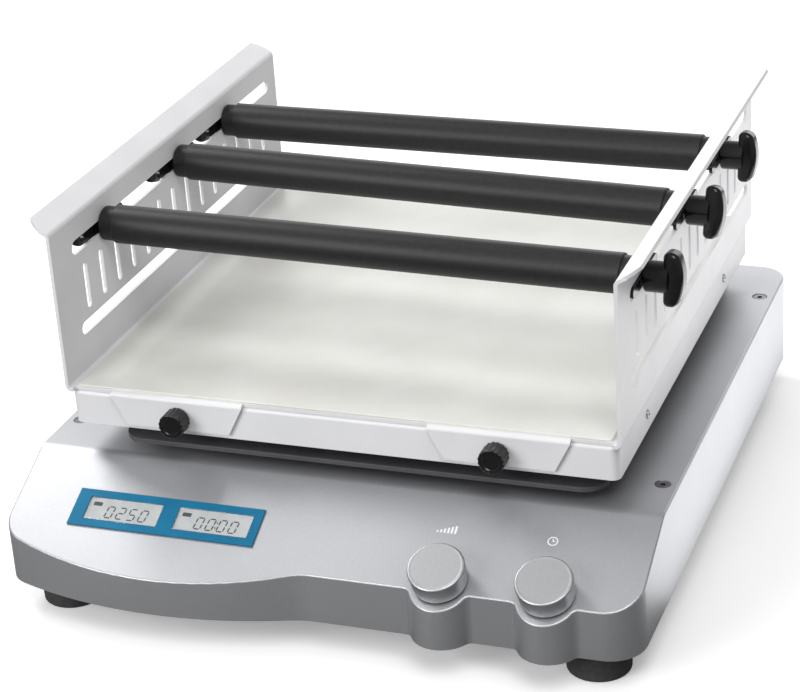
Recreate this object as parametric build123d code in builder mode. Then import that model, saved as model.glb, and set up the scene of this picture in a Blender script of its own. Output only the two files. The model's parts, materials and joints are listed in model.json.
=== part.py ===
from build123d import *
from math import cos, radians, sin, sqrt, tan
import os

os.makedirs("parts", exist_ok=True)

# Reciprocating laboratory shaker, in millimetres.
# +X is to the right, +Y to the back, +Z up. The origin is on the bench, under the middle of the base.

# Clearances
seat_gap = 0.3          # between faces of pieces that move or are lifted apart
running_gap = 0.05      # radial, between a shaft and its bore
slide_gap = 0.5         # over the rod's eye, where the linkage is left open

# Base housing
housing_width = 370.0
overall_depth = 411.0
rear_fitting = 1.5      # how far the inlet and switch stand out of the rear wall
foot_height = 20.0
housing_height = 57.0
wall = 3.0
panel_angle = 25.0      # fall of the control panel from the level top
panel_run = 60.0        # plan depth of the control panel
bulge_depth = 15.0      # how far the display's curve stands in front of the straight front
bulge_radius = 255.0
bulge_inset = 96.0      # middle of the display's curve from the left side
left_corner = 18.0
right_corner = 20.0
rear_corner = 18.0
bulge_blend = 45.0
crease_radius = 14.0
rim_radius = 1.4

# Control knobs and the lobes that carry them
knob_insets = (108.8, 49.7)     # knob centres from the right side
knob_inset = 6.2        # knob centre behind the straight front
lobe_radius = 17.5
lobe_blend = 4.0
knob_radius = 15.7
knob_foot_radius = 15.1
knob_height = 12.2
knob_lift = 1.5
knob_wall = 2.6
knob_edge = 1.2
knob_travel = 0.8
shaft_radius = 3.0
bushing_radius = 3.5
encoder_size = 13.0
encoder_height = 6.7
encoder_floor = 1.5

# Display
bezel_inset = 94.0      # middle of the bezel from the left side
bezel_width = 113.4
bezel_height = 25.0
bezel_thickness = 1.0
bezel_drop = 7.5        # bezel centre below the panel's middle, along the slope
bezel_side = 6.7        # bezel beside each window
window_bridge = 10.0    # bezel between the windows
window_height = 15.2
window_shift = 1.5
window_thickness = 1.2
lcd_margin = 2.5
board_thickness = 1.6
board_depth = 10.0      # top of the control board below the panel's face
board_left_inset = 35.0
board_right_inset = 25.0
board_up = 20.0
board_down = 32.0
board_boss_radius = 3.2
processor_size = 14.0
regulator_width = 10.0
regulator_height = 6.0

# Feet
foot_radius = 18.2
foot_taper = 0.5
foot_edge = 1.2         # rounding where it rests
foot_inset = 28.5       # from the side
foot_front = 26.0       # behind the straight front
foot_rear = 38.0        # before the rear wall
foot_bore = 5.2
foot_web = 5.0
foot_screw_length = 9.0

# Base plate and the screws that hold the housing down on it
plate_thickness = 2.0
cover_screw_inset = 9.0
cover_screw_front = 32.5        # behind the crease
cover_screw_rear = 48.0         # before the rear wall
post_radius = 4.5
screw_head_radius = 4.4
screw_head_height = 1.8
screw_radius = 2.0
screw_length = 10.0
screw_key = 1.7

# Moving table
table_overhang = 0.5    # platform in front of the crease
stroke = 5.0            # each way from the middle
platform_width = 322.0
platform_rear_gap = 16.0        # platform in front of the rear wall
platform_height = 20.3
platform_bottom = 94.0
platform_sheet = 2.0
platform_corner = 5.0
platform_rim = 2.5
table_plate_inset_x = 18.0      # from the platform's sides
table_plate_shift = 8.0         # the plate sits off the middle, to the right
table_plate_inset_y = 3.0       # from its front and rear
table_plate_top = 86.0
table_plate_sheet = 3.0
table_plate_corner = 14.0
post_x = 60.0
post_y = 60.0
table_post_radius = 7.0
standoff_inset = 38.0   # from the table plate's edges
standoff_radius = 8.0

# Cradle: one folded sheet with a slotted panel on each side
sheet = 2.0
bend_radius = 2.5
panel_top = 209.5
panel_front_lip = 2.3
panel_rear_lip = 4.0
flange_reach = 14.6
flange_rise = 31.0      # degrees above level
flange_corner = 13.0
floor_setback = 0.8
tab_inner = 54.5
tab_outer = 135.0
tab_slant = 9.0
tab_bottom = 97.0
slot_front = 22.0       # slot end behind the platform's front
slot_rear = 9.0         # slot end before its rear
bar_slot_height = 8.4
bar_slot_z = 191.5
low_slot_height = 7.5
low_slot_z = 141.5
vent_count = 14
vent_width = 5.0
vent_height = 28.0
vent_z = 165.0
vent_front = 34.5       # first upright slot behind the platform's front
vent_rear = 24.5        # last one before its rear
mat_thickness = 1.5
mat_margin = 4.0

# Holding bars and their clamps. Each bar is set by hand, so none is quite square to the panels.
bar_names = ("front", "middle", "rear")
bar_steps = (-102.0, -3.0, 78.5)        # bar middles from the table's centre line
bar_skews = (-2.3, -3.7, -1.1)          # degrees
bar_core_radius = 8.0
sleeve_radius = 11.2
sleeve_chamfer = 0.8
cap_radius = 10.0       # the sleeve is stepped down at its ends
cap_length = 8.0
stud_radius = 2.5
stud_reach = 15.0
runner_length = 52.0
runner_height = 6.6
runner_thickness = 2.0
runner_recess = 1.0     # inside the panel's inner face
stud_slip = 0.2         # round the stud, in the runner
hub_radius = 8.5
hub_length = 10.0
grip_length = 30.2
grip_width = 12.0
grip_end = 7.5          # thickness at the ends
grip_middle = 11.2      # thickness in the middle
grip_corner = 3.0
grip_round = 2.0
handle_turns = (-6.0, -16.0, -8.0)      # degrees, each as its hand left it

# Thumb screws on the front tabs
thumb_x = 93.8
thumb_z = 104.2
thumb_radius = 7.5
thumb_length = 10.5
thumb_flutes = 16
thumb_flute_radius = 1.0
thumb_stud = 14.0

# Linear guide
guide_edge = 74.5       # guide shafts inside the platform's front and rear
guide_z = 48.0
guide_radius = 6.0
guide_inset = 60.0      # shaft ends from the housing's sides
support_inset = 10.0    # supports from the shaft ends
support_foot = 10.0
support_length = 16.0
support_width = 34.0
support_top = 60.0
block_x = 45.0
block_length = 36.0
block_width = 30.0
block_drop = 12.5
ball_bush_radius = 10.5
ball_bush_length = 30.0
carriage_z = 62.0
carriage_thickness = 6.0
carriage_end = 15.0     # plate beyond the table posts
carriage_window_length = 70.0
carriage_window_width = 40.0
carriage_web = 18.0     # window's middle from the bearing blocks

# Eccentric drive
crank_x = -45.0
crank_pulley_radius = 31.5
pulley_rim = 3.0
pulley_hub_radius = 22.5
pulley_recess = 6.0
motor_pulley_radius = 10.5
belt_distance = 78.0
pulley_z = 25.0
pulley_height = 10.0
flange_height = 1.0
flange_radius = 12.8
belt_thickness = 1.5
belt_gap = 0.3
spindle_radius = 6.0
spindle_foot_radius = 14.0
crank_bearing_radius = 12.0
crank_bearing_height = 6.0
eccentric_radius = 20.0
eccentric_height = 11.0
rod_bearing_radius = 26.0
rod_bearing_height = 6.0
rod_ring = 6.0
rod_length = 105.0
rod_z = 38.5
rod_height = 7.0
rod_width = 14.0
eye_radius = 9.0
pin_radius = 4.0

# Motor
motor_radius = 35.0
motor_bottom = 38.3
motor_height = 33.0
motor_shaft_radius = 3.0
bracket_thickness = 2.8
bracket_leg = 4.0

# Rear fittings and power board
inlet_inset = 73.0      # from the right side
switch_step = 44.0      # from the inlet
port_inset = 85.0       # from the left side
fitting_z = 48.0
inlet_width = 30.0
inlet_height = 23.0
inlet_body_depth = 26.0
inlet_recess_width = 24.0
inlet_recess_height = 16.5
inlet_recess_depth = 21.0
blade_length = 14.0
switch_width = 15.0
switch_height = 21.0
switch_depth = 18.0
rocker_angle = 8.0
port_width = 31.0
port_height = 12.5
port_mouth_width = 18.0
port_mouth_height = 8.0
port_mouth_lean = 80.0  # degrees
port_body_width = 20.0
port_body_height = 10.0
port_body_depth = 10.0
power_board_x = -10.0
power_board_width = 100.0
power_board_depth = 56.0
power_board_rear = 38.0 # middle of the board before the rear wall
power_board_lift = 5.0
transformer_x = -28.0
transformer_width = 30.0
transformer_depth = 34.0
transformer_height = 24.0
capacitor_radius = 8.0
capacitor_step = 11.0
capacitor_height = 26.0
sink_x = 32.0
sink_depth = 44.0
sink_height = 20.0
fin_width = 14.0
fin_pitch = 8.0

# Places worked out from the sizes above
front_y = -overall_depth / 2
straight_y = front_y + bulge_depth
rear_y = overall_depth / 2 - rear_fitting
crease_y = straight_y + panel_run
top_z = foot_height + housing_height
half_width = housing_width / 2
bulge_x = bulge_inset - half_width
bezel_x = bezel_inset - half_width
knob_x = [half_width - inset for inset in knob_insets]
foot_x = half_width - foot_inset
cover_screw_x = half_width - cover_screw_inset
platform_front = crease_y - table_overhang
platform_rear = rear_y - platform_rear_gap
platform_depth = platform_rear - platform_front
table_y = (platform_front + platform_rear) / 2
window_width = (bezel_width - 2 * bezel_side - window_bridge) / 2
window_pitch = window_width + window_bridge
fall = tan(radians(panel_angle))
panel_mid_y = (straight_y + crease_y) / 2
panel_mid_z = top_z - (crease_y - panel_mid_y) * fall
panel_up = Vector(0, -sin(radians(panel_angle)), cos(radians(panel_angle)))
knob_y = straight_y + knob_inset
knob_slope = (knob_y - panel_mid_y) / cos(radians(panel_angle))
board_left = board_left_inset - half_width
board_right = half_width - board_right_inset
plate_top = foot_height + plate_thickness
inner_top = top_z - wall
platform_top = platform_bottom + platform_height
table_plate_width = platform_width - 2 * table_plate_inset_x
table_plate_depth = platform_depth - 2 * table_plate_inset_y
standoff_x = table_plate_width / 2 - standoff_inset
standoff_y = table_plate_depth / 2 - standoff_inset
floor_top = platform_top + sheet
panel_outer = platform_width / 2 + sheet
panel_inner = panel_outer - sheet
runner_inner = panel_inner + runner_recess
runner_outer = runner_inner + runner_thickness
panel_front = platform_front - panel_front_lip
panel_rear = platform_rear + panel_rear_lip
slot_length = platform_depth - slot_front - slot_rear
slot_middle = platform_front + slot_front + slot_length / 2
vent_pitch = (platform_depth - vent_front - vent_rear) / (vent_count - 1)
guide_y = platform_depth / 2 - guide_edge
guide_length = 2 * (half_width - guide_inset)
support_x = guide_length / 2 - support_inset
carriage_length = 2 * (post_x + carriage_end)
carriage_width = 2 * guide_y + block_width
carriage_window_y = guide_y - block_width / 2 - carriage_web
inlet_x = half_width - inlet_inset
switch_x = inlet_x - switch_step
port_x = port_inset - half_width
power_board_y = rear_y - power_board_rear
motor_x = crank_x - belt_distance
motor_place = (motor_x, table_y)
crank_place = (crank_x, table_y)
eye_x = crank_x + sqrt(rod_length ** 2 - stroke ** 2)
carriage_top = carriage_z + carriage_thickness
table_plate_bottom = table_plate_top - table_plate_sheet
foot_places = [(x, y) for x in (-foot_x, foot_x) for y in (straight_y + foot_front, rear_y - foot_rear)]
cover_places = [
    (x, y)
    for x in (-cover_screw_x, cover_screw_x)
    for y in (crease_y + cover_screw_front, rear_y - cover_screw_rear)
]
post_places = [(x, table_y + y) for x in (-post_x, post_x) for y in (-post_y, post_y)]
standoff_places = [(x, table_y + y) for x in (-standoff_x, standoff_x) for y in (-standoff_y, standoff_y)]


def panel_plane(lift=0.0, x=0.0, slope=0.0):
    # A plane on the control panel, lifted off its face; local Y runs up the slope.
    middle = Plane(origin=(0, panel_mid_y, panel_mid_z), x_dir=(1, 0, 0), z_dir=panel_up)
    corner = middle.from_local_coords(Vector(x, slope, lift))
    return Plane(origin=corner, x_dir=(1, 0, 0), z_dir=panel_up)


def corner_near(sketch, x, y):
    # The corner of a sketch that lies nearest to a place.
    return sketch.vertices().sort_by_distance(Vector(x, y, 0))[0]


# Plan outline of the base: a straight front, a shallow curve under the display and two knob lobes
bulge_half = sqrt(bulge_radius ** 2 - (bulge_radius - bulge_depth) ** 2)
bulge_end_x = bulge_x + bulge_half
left_offset = half_width + bulge_x
left_y = front_y + bulge_radius - sqrt(bulge_radius ** 2 - left_offset ** 2)

with BuildSketch() as outline:
    with BuildLine():
        Line((-half_width, left_y), (-half_width, rear_y))
        Line((-half_width, rear_y), (half_width, rear_y))
        Line((half_width, rear_y), (half_width, straight_y))
        Line((half_width, straight_y), (bulge_end_x, straight_y))
        ThreePointArc((bulge_end_x, straight_y), (bulge_x, front_y), (-half_width, left_y))
    make_face()
    fillet(corner_near(outline, bulge_end_x, straight_y), bulge_blend)
    fillet(corner_near(outline, -half_width, left_y), left_corner)
    fillet(corner_near(outline, half_width, straight_y), right_corner)
    fillet(corner_near(outline, half_width, rear_y), rear_corner)
    fillet(corner_near(outline, -half_width, rear_y), rear_corner)
    with Locations([(x, knob_y) for x in knob_x]):
        Circle(lobe_radius)
    lobe_half = sqrt(lobe_radius ** 2 - knob_inset ** 2)
    for x in knob_x:
        for side in (-1, 1):
            fillet(corner_near(outline, x + side * lobe_half, straight_y), lobe_blend)

with BuildSketch() as inner_outline:
    add(outline.sketch)
    offset(amount=-wall, kind=Kind.INTERSECTION)

with BuildSketch() as plate_outline:
    add(outline.sketch)
    offset(amount=-(wall + seat_gap), kind=Kind.INTERSECTION)


# Space inside the housing, open at the bottom and parallel to the panel at the front
with BuildPart() as cavity:
    with BuildSketch(Plane.XY.offset(foot_height)):
        add(inner_outline.sketch)
    extrude(amount=housing_height - wall)
    with BuildSketch(Plane.YZ):
        with BuildLine():
            reach = panel_run + bulge_depth
            skin = wall / cos(radians(panel_angle))
            inner_crease = crease_y + (skin - wall) / fall
            Line((inner_crease, inner_top), (inner_crease - reach, inner_top))
            Line((inner_crease - reach, inner_top), (inner_crease - reach, inner_top - reach * fall))
            Line((inner_crease - reach, inner_top - reach * fall), (inner_crease, inner_top))
        make_face()
    extrude(amount=housing_width, both=True, mode=Mode.SUBTRACT)

# Housing: cast shell with a sloping control panel
with BuildPart() as housing:
    with BuildSketch(Plane.XY.offset(foot_height)):
        add(outline.sketch)
    extrude(amount=housing_height)
    with BuildSketch(Plane.YZ):
        with BuildLine():
            Line((crease_y, top_z), (crease_y - reach, top_z))
            Line((crease_y - reach, top_z), (crease_y - reach, top_z - reach * fall))
            Line((crease_y - reach, top_z - reach * fall), (crease_y, top_z))
        make_face()
    extrude(amount=housing_width, both=True, mode=Mode.SUBTRACT)
    crease = housing.edges().filter_by(Axis.X).sort_by_distance(Vector(0, crease_y, top_z))[0]
    fillet(crease, crease_radius)
    upper = housing.edges().filter_by(lambda e: e.bounding_box().min.Z > foot_height + wall)
    far_from_crease = lambda e: abs(e.center().Y - crease_y) > panel_run / 2
    rim = upper.filter_by(lambda e: abs(e.tangent_at(0.5).X) < 0.999 or far_from_crease(e))
    fillet(rim, rim_radius)
    add(cavity.part, mode=Mode.SUBTRACT)
    # Bosses for the control board, under the panel's skin
    for x in (board_left + 2 * board_boss_radius, board_right - 2 * board_boss_radius):
        with BuildSketch(panel_plane(-board_depth, x, board_up - 1.5 * board_boss_radius)):
            Circle(board_boss_radius)
        extrude(amount=board_depth - wall / 2)
    # Slots over the guide, for the four posts of the moving table
    with BuildSketch(Plane.XY.offset(inner_top)):
        with Locations(post_places):
            SlotCenterToCenter(2 * (stroke + 2), 2 * table_post_radius + 4)
    extrude(amount=wall, mode=Mode.SUBTRACT)
    # Screw holes at the edges of the level top
    with Locations([(x, y, top_z) for x, y in cover_places]):
        CounterBoreHole(
            screw_radius + seat_gap,
            screw_head_radius + seat_gap,
            screw_head_height,
            depth=wall + 1,
        )
    # Openings of the panel: the display and the two knob bushings
    with BuildSketch(panel_plane(-2 * wall, bezel_x + window_shift, -bezel_drop)):
        Rectangle(window_pitch + window_width + 2 * lcd_margin + 2, window_height + 2 * lcd_margin)
    extrude(amount=3 * wall, mode=Mode.SUBTRACT)
    for x in knob_x:
        with BuildSketch(panel_plane(-2 * wall, x, knob_slope)):
            Circle(bushing_radius + seat_gap)
        extrude(amount=3 * wall, mode=Mode.SUBTRACT)
    # Openings of the rear wall
    with BuildSketch(Plane.XZ.offset(-rear_y)):
        with Locations((inlet_x, fitting_z)):
            Rectangle(inlet_width - 3 + 2 * seat_gap, inlet_height - 3 + 2 * seat_gap)
        with Locations((switch_x, fitting_z)):
            Rectangle(switch_width - 2 + 2 * seat_gap, switch_height - 2 + 2 * seat_gap)
        with Locations((port_x, fitting_z)):
            Rectangle(port_body_width + 2 * seat_gap, port_body_height + 2 * seat_gap)
    extrude(amount=wall, mode=Mode.SUBTRACT)
housing.part.label = "housing"
export_step(housing.part, "parts/housing.step")

# Bottom plate, inside the housing's wall, with bosses for the power board
with BuildPart() as bottom_plate:
    with BuildSketch(Plane.XY.offset(foot_height)):
        add(plate_outline.sketch)
        with Locations(foot_places):
            Circle(screw_radius + seat_gap, mode=Mode.SUBTRACT)
    extrude(amount=plate_thickness)
    with BuildSketch(Plane.XY.offset(plate_top)):
        with Locations((power_board_x, power_board_y)):
            with GridLocations(power_board_width - 10, power_board_depth - 10, 2, 2):
                Circle(board_boss_radius)
    extrude(amount=power_board_lift)
bottom_plate.part.label = "bottom_plate"
export_step(bottom_plate.part, "parts/bottom_plate.step")

# Rubber feet
with BuildPart() as feet:
    with Locations([(x, y, 0) for x, y in foot_places]):
        Cone(
            foot_radius - foot_taper,
            foot_radius,
            foot_height,
            align=(Align.CENTER, Align.CENTER, Align.MIN),
        )
    fillet(feet.edges().group_by(Axis.Z)[0], foot_edge)
    with BuildSketch(Plane.XY):
        with Locations(foot_places):
            Circle(foot_bore)
    extrude(amount=foot_height - foot_web, mode=Mode.SUBTRACT)
    with BuildSketch(Plane.XY):
        with Locations(foot_places):
            Circle(screw_radius + running_gap)
    extrude(amount=foot_height, mode=Mode.SUBTRACT)
feet.part.label = "feet"
export_step(feet.part, "parts/feet.step")

# Screws that hold the feet, heads up inside their bores
with BuildPart() as foot_screws:
    with BuildSketch(Plane.XY.offset(foot_height - foot_web - screw_head_height)):
        with Locations(foot_places):
            Circle(screw_head_radius)
    extrude(amount=screw_head_height)
    with BuildSketch(Plane.XY.offset(foot_height - foot_web)):
        with Locations(foot_places):
            Circle(screw_radius)
    extrude(amount=foot_screw_length)
foot_screws.part.label = "foot_screws"
export_step(foot_screws.part, "parts/foot_screws.step")

# Posts between the bottom plate and the housing's top, under the cover screws
with BuildPart() as cover_posts:
    with BuildSketch(Plane.XY.offset(plate_top)):
        with Locations(cover_places):
            Circle(post_radius)
    extrude(amount=inner_top - plate_top)
    with BuildSketch(Plane.XY.offset(inner_top - screw_length)):
        with Locations(cover_places):
            Circle(screw_radius + running_gap)
    extrude(amount=screw_length, mode=Mode.SUBTRACT)
cover_posts.part.label = "cover_posts"
export_step(cover_posts.part, "parts/cover_posts.step")

# Cover screws, sunk flush in the top
head_seat = top_z - screw_head_height
with BuildPart() as cover_screws:
    with BuildSketch(Plane.XY.offset(head_seat)):
        with Locations(cover_places):
            Circle(screw_head_radius)
            RegularPolygon(screw_key, 6, mode=Mode.SUBTRACT)
    extrude(amount=screw_head_height - seat_gap)
    with BuildSketch(Plane.XY.offset(head_seat - screw_length)):
        with Locations(cover_places):
            Circle(screw_radius)
    extrude(amount=screw_length)
cover_screws.part.label = "cover_screws"
export_step(cover_screws.part, "parts/cover_screws.step")

# Display: a coloured bezel with two windows over the display modules
window_x = [bezel_x + window_shift + side * window_pitch / 2 for side in (-1, 1)]
with BuildPart() as display_bezel:
    with BuildSketch(panel_plane(0, bezel_x, -bezel_drop)):
        Rectangle(bezel_width, bezel_height)
        with Locations([(x - bezel_x, 0) for x in window_x]):
            Rectangle(window_width, window_height, mode=Mode.SUBTRACT)
    extrude(amount=bezel_thickness)
display_bezel.part.label = "display_bezel"
export_step(display_bezel.part, "parts/display_bezel.step")

window_seat = bezel_thickness - seat_gap - window_thickness
with BuildPart() as display_windows:
    with BuildSketch(panel_plane(window_seat, bezel_x, -bezel_drop)):
        with Locations([(x - bezel_x, 0) for x in window_x]):
            Rectangle(window_width - seat_gap, window_height - seat_gap)
    extrude(amount=window_thickness)
display_windows.part.label = "display_windows"
export_step(display_windows.part, "parts/display_windows.step")

with BuildPart() as lcd_modules:
    with BuildSketch(panel_plane(-board_depth, bezel_x, -bezel_drop)):
        with Locations([(x - bezel_x, 0) for x in window_x]):
            Rectangle(window_width + 2 * lcd_margin, window_height + 2 * lcd_margin - 1)
    extrude(amount=board_depth + window_seat)
lcd_modules.part.label = "lcd_modules"
export_step(lcd_modules.part, "parts/lcd_modules.step")

# Control board, parallel to the panel
with BuildPart() as control_board:
    board_middle_x = (board_right + board_left) / 2
    board_middle_slope = (board_up - board_down) / 2
    with BuildSketch(panel_plane(-board_depth - board_thickness, board_middle_x, board_middle_slope)):
        RectangleRounded(board_right - board_left, board_up + board_down, board_thickness)
    extrude(amount=board_thickness)
    with BuildSketch(panel_plane(-board_depth, board_middle_x)):
        Rectangle(processor_size, processor_size)
        with Locations((2 * processor_size, 0)):
            Rectangle(regulator_width, regulator_height)
    extrude(amount=board_thickness)
control_board.part.label = "control_board"
export_step(control_board.part, "parts/control_board.step")

# Two push encoders on the control board, each with a bushing through the panel
with BuildPart() as encoder_bodies:
    for x in knob_x:
        with BuildSketch(panel_plane(-board_depth, x, knob_slope)):
            Rectangle(encoder_size, encoder_size)
        extrude(amount=encoder_height)
        with BuildSketch(panel_plane(-board_depth + encoder_height, x, knob_slope)):
            Circle(bushing_radius)
        extrude(amount=board_depth - encoder_height + 2 * wall)
        with BuildSketch(panel_plane(-board_depth + encoder_floor, x, knob_slope)):
            Circle(shaft_radius + running_gap)
        extrude(amount=board_depth + 3 * wall, mode=Mode.SUBTRACT)
encoder_bodies.part.label = "encoder_bodies"
export_step(encoder_bodies.part, "parts/encoder_bodies.step")

# Encoder shafts and the turned knobs on them
shaft_bottom = -board_depth + encoder_floor + knob_travel + seat_gap
knob_names = ("speed", "time")
for name, x in zip(knob_names, knob_x):
    with BuildPart() as knob_shaft:
        with BuildSketch(panel_plane(shaft_bottom, x, knob_slope)):
            Circle(shaft_radius)
        extrude(amount=knob_lift + knob_height - knob_wall - shaft_bottom)
    knob_shaft.part.label = f"{name}_shaft"
    export_step(knob_shaft.part, f"parts/{name}_shaft.step")

    with BuildPart() as knob:
        with BuildSketch(panel_plane(knob_lift, x, knob_slope)):
            Circle(knob_foot_radius)
        with BuildSketch(panel_plane(knob_lift + knob_height, x, knob_slope)):
            Circle(knob_radius)
        loft()
        crown = knob.edges().sort_by_distance(panel_plane(knob_lift + knob_height, x, knob_slope).origin)
        fillet(crown.filter_by(GeomType.CIRCLE)[0], knob_edge)
        with BuildSketch(panel_plane(knob_lift, x, knob_slope)):
            Circle(knob_foot_radius - knob_wall)
            Circle(shaft_radius + knob_wall, mode=Mode.SUBTRACT)
        extrude(amount=knob_height - 2 * knob_wall, mode=Mode.SUBTRACT)
        with BuildSketch(panel_plane(knob_lift, x, knob_slope)):
            Circle(bushing_radius + 1)
        extrude(amount=2 * wall - knob_lift + knob_travel + seat_gap, mode=Mode.SUBTRACT)
        with BuildSketch(panel_plane(knob_lift, x, knob_slope)):
            Circle(shaft_radius + running_gap)
        extrude(amount=knob_height - knob_wall, mode=Mode.SUBTRACT)
    knob.part.label = f"{name}_knob"
    export_step(knob.part, f"parts/{name}_knob.step")

# Power board with its transformer, capacitors and heat sink
power_board_z = plate_top + power_board_lift
with BuildPart() as power_board:
    with BuildSketch(Plane.XY.offset(power_board_z)):
        with Locations((power_board_x, power_board_y)):
            RectangleRounded(power_board_width, power_board_depth, board_thickness)
    extrude(amount=board_thickness)
    with BuildSketch(Plane.XY.offset(power_board_z + board_thickness)):
        with Locations((power_board_x + transformer_x, power_board_y)):
            RectangleRounded(transformer_width, transformer_depth, board_thickness)
    extrude(amount=transformer_height)
    with BuildSketch(Plane.XY.offset(power_board_z + board_thickness)):
        with Locations((power_board_x, power_board_y)):
            with GridLocations(0, 2 * capacitor_step, 1, 2):
                Circle(capacitor_radius)
    extrude(amount=capacitor_height)
    with BuildSketch(Plane.XY.offset(power_board_z + board_thickness)):
        with Locations((power_board_x + sink_x, power_board_y)):
            Rectangle(board_thickness, sink_depth)
            with GridLocations(0, fin_pitch, 1, 6):
                Rectangle(fin_width, board_thickness)
    extrude(amount=sink_height)
power_board.part.label = "power_board"
export_step(power_board.part, "parts/power_board.step")

# Mains inlet in the rear wall: a shrouded recess with three flat contacts
with BuildPart() as mains_inlet:
    with BuildSketch(Plane.XZ.offset(-rear_y - rear_fitting)):
        with Locations((inlet_x, fitting_z)):
            RectangleRounded(inlet_width, inlet_height, 3)
    extrude(amount=rear_fitting)
    with BuildSketch(Plane.XZ.offset(-rear_y)):
        with Locations((inlet_x, fitting_z)):
            Rectangle(inlet_width - 3, inlet_height - 3)
    extrude(amount=inlet_body_depth)
    recess_mouth = -rear_y - rear_fitting
    with BuildSketch(Plane.XZ.offset(recess_mouth)):
        with Locations((inlet_x, fitting_z)):
            Rectangle(inlet_recess_width, inlet_recess_height)
    extrude(amount=inlet_recess_depth, mode=Mode.SUBTRACT)
    with BuildSketch(Plane.XZ.offset(recess_mouth + inlet_recess_depth - blade_length)):
        with Locations(
            (inlet_x - 7, fitting_z - 2),
            (inlet_x, fitting_z + 2),
            (inlet_x + 7, fitting_z - 2),
        ):
            Rectangle(2, 4)
    extrude(amount=blade_length + 1)
mains_inlet.part.label = "mains_inlet"
export_step(mains_inlet.part, "parts/mains_inlet.step")

# Power switch: a frame in the rear wall and a rocker on a cross pin
switch_frame_out = 1.2
rocker_width = switch_width - 5
rocker_height = switch_height - 5
with BuildPart() as switch_frame:
    with BuildSketch(Plane.XZ.offset(-rear_y - switch_frame_out)):
        with Locations((switch_x, fitting_z)):
            RectangleRounded(switch_width, switch_height, 1.5)
    extrude(amount=switch_frame_out)
    with BuildSketch(Plane.XZ.offset(-rear_y)):
        with Locations((switch_x, fitting_z)):
            Rectangle(switch_width - 2, switch_height - 2)
    extrude(amount=switch_depth)
    with BuildSketch(Plane.XZ.offset(-rear_y - switch_frame_out)):
        with Locations((switch_x, fitting_z)):
            Rectangle(rocker_width + 2 * seat_gap, rocker_height + 2 * seat_gap)
    extrude(amount=switch_frame_out + switch_depth - 3, mode=Mode.SUBTRACT)
    with BuildSketch(Plane.YZ.offset(switch_x)):
        with Locations((rear_y - 4, fitting_z)):
            Circle(1.2)
    extrude(amount=rocker_width / 2 + 1.2, both=True)
switch_frame.part.label = "switch_frame"
export_step(switch_frame.part, "parts/switch_frame.step")

# The rocker's face is a shallow vee, shown with its lower half pressed in
with BuildPart() as power_rocker:
    with BuildSketch(Plane.YZ.offset(switch_x)):
        with BuildLine():
            vee = rocker_height / 2 * tan(radians(rocker_angle))
            Polyline(
                (rear_y - 7, fitting_z - rocker_height / 2 + 2.4),
                (rear_y - 7, fitting_z + rocker_height / 2 - 2.4),
                (rear_y, fitting_z + rocker_height / 2 - 0.6),
                (rear_y - vee, fitting_z),
                (rear_y, fitting_z - rocker_height / 2 + 0.6),
                close=True,
            )
        make_face()
        with Locations((rear_y - 4, fitting_z)):
            Circle(1.2 + running_gap, mode=Mode.SUBTRACT)
    extrude(amount=rocker_width / 2, both=True)
pivot = Axis((switch_x, rear_y - 4, fitting_z), (1, 0, 0))
power_rocker.part = power_rocker.part.rotate(pivot, -rocker_angle)
power_rocker.part.label = "power_rocker"
export_step(power_rocker.part, "parts/power_rocker.step")

# Serial port in the rear wall
with BuildPart() as serial_port:
    with BuildSketch(Plane.XZ.offset(-rear_y - 1)):
        with Locations((port_x, fitting_z)):
            RectangleRounded(port_width, port_height, 1.5)
            with GridLocations(port_width - 6, 0, 2, 1):
                Circle(1.3, mode=Mode.SUBTRACT)
    extrude(amount=1)
    with BuildSketch(Plane.XZ.offset(-rear_y - rear_fitting)):
        with Locations((port_x, fitting_z)):
            Trapezoid(port_mouth_width, port_mouth_height, port_mouth_lean)
    extrude(amount=rear_fitting)
    with BuildSketch(Plane.XZ.offset(-rear_y)):
        with Locations((port_x, fitting_z)):
            Rectangle(port_body_width, port_body_height)
    extrude(amount=port_body_depth)
serial_port.part.label = "serial_port"
export_step(serial_port.part, "parts/serial_port.step")

# Linear guide: two ground shafts in four supports
with BuildPart() as guide_shafts:
    with BuildSketch(Plane.YZ.offset(-guide_length / 2)):
        with Locations((table_y - guide_y, guide_z), (table_y + guide_y, guide_z)):
            Circle(guide_radius)
    extrude(amount=guide_length)
    chamfer(guide_shafts.edges().filter_by(GeomType.CIRCLE), 0.8)
guide_shafts.part.label = "guide_shafts"
export_step(guide_shafts.part, "parts/guide_shafts.step")

with BuildPart() as shaft_supports:
    for x in (-support_x, support_x):
        with BuildSketch(Plane.YZ.offset(x - support_length / 2)):
            for y in (table_y - guide_y, table_y + guide_y):
                with Locations((y, plate_top)):
                    Rectangle(support_width, support_foot, align=(Align.CENTER, Align.MIN))
                    Rectangle(
                        support_width / 2,
                        support_top - plate_top,
                        align=(Align.CENTER, Align.MIN),
                    )
                with Locations((y, guide_z)):
                    Circle(guide_radius, mode=Mode.SUBTRACT)
        extrude(amount=support_length)
shaft_supports.part.label = "shaft_supports"
export_step(shaft_supports.part, "parts/shaft_supports.step")

# Carriage: four blocks with ball bushes under one plate
block_places = [(x, table_y + y) for x in (-block_x, block_x) for y in (-guide_y, guide_y)]
block_bottom = guide_z - block_drop
with BuildPart() as bearing_blocks:
    for x, y in block_places:
        with BuildSketch(Plane.YZ.offset(x - block_length / 2)):
            with Locations((y, (block_bottom + carriage_z) / 2)):
                Rectangle(block_width, carriage_z - block_bottom)
            with Locations((y, guide_z)):
                Circle(ball_bush_radius, mode=Mode.SUBTRACT)
        extrude(amount=block_length)
bearing_blocks.part.label = "bearing_blocks"
export_step(bearing_blocks.part, "parts/bearing_blocks.step")

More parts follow.
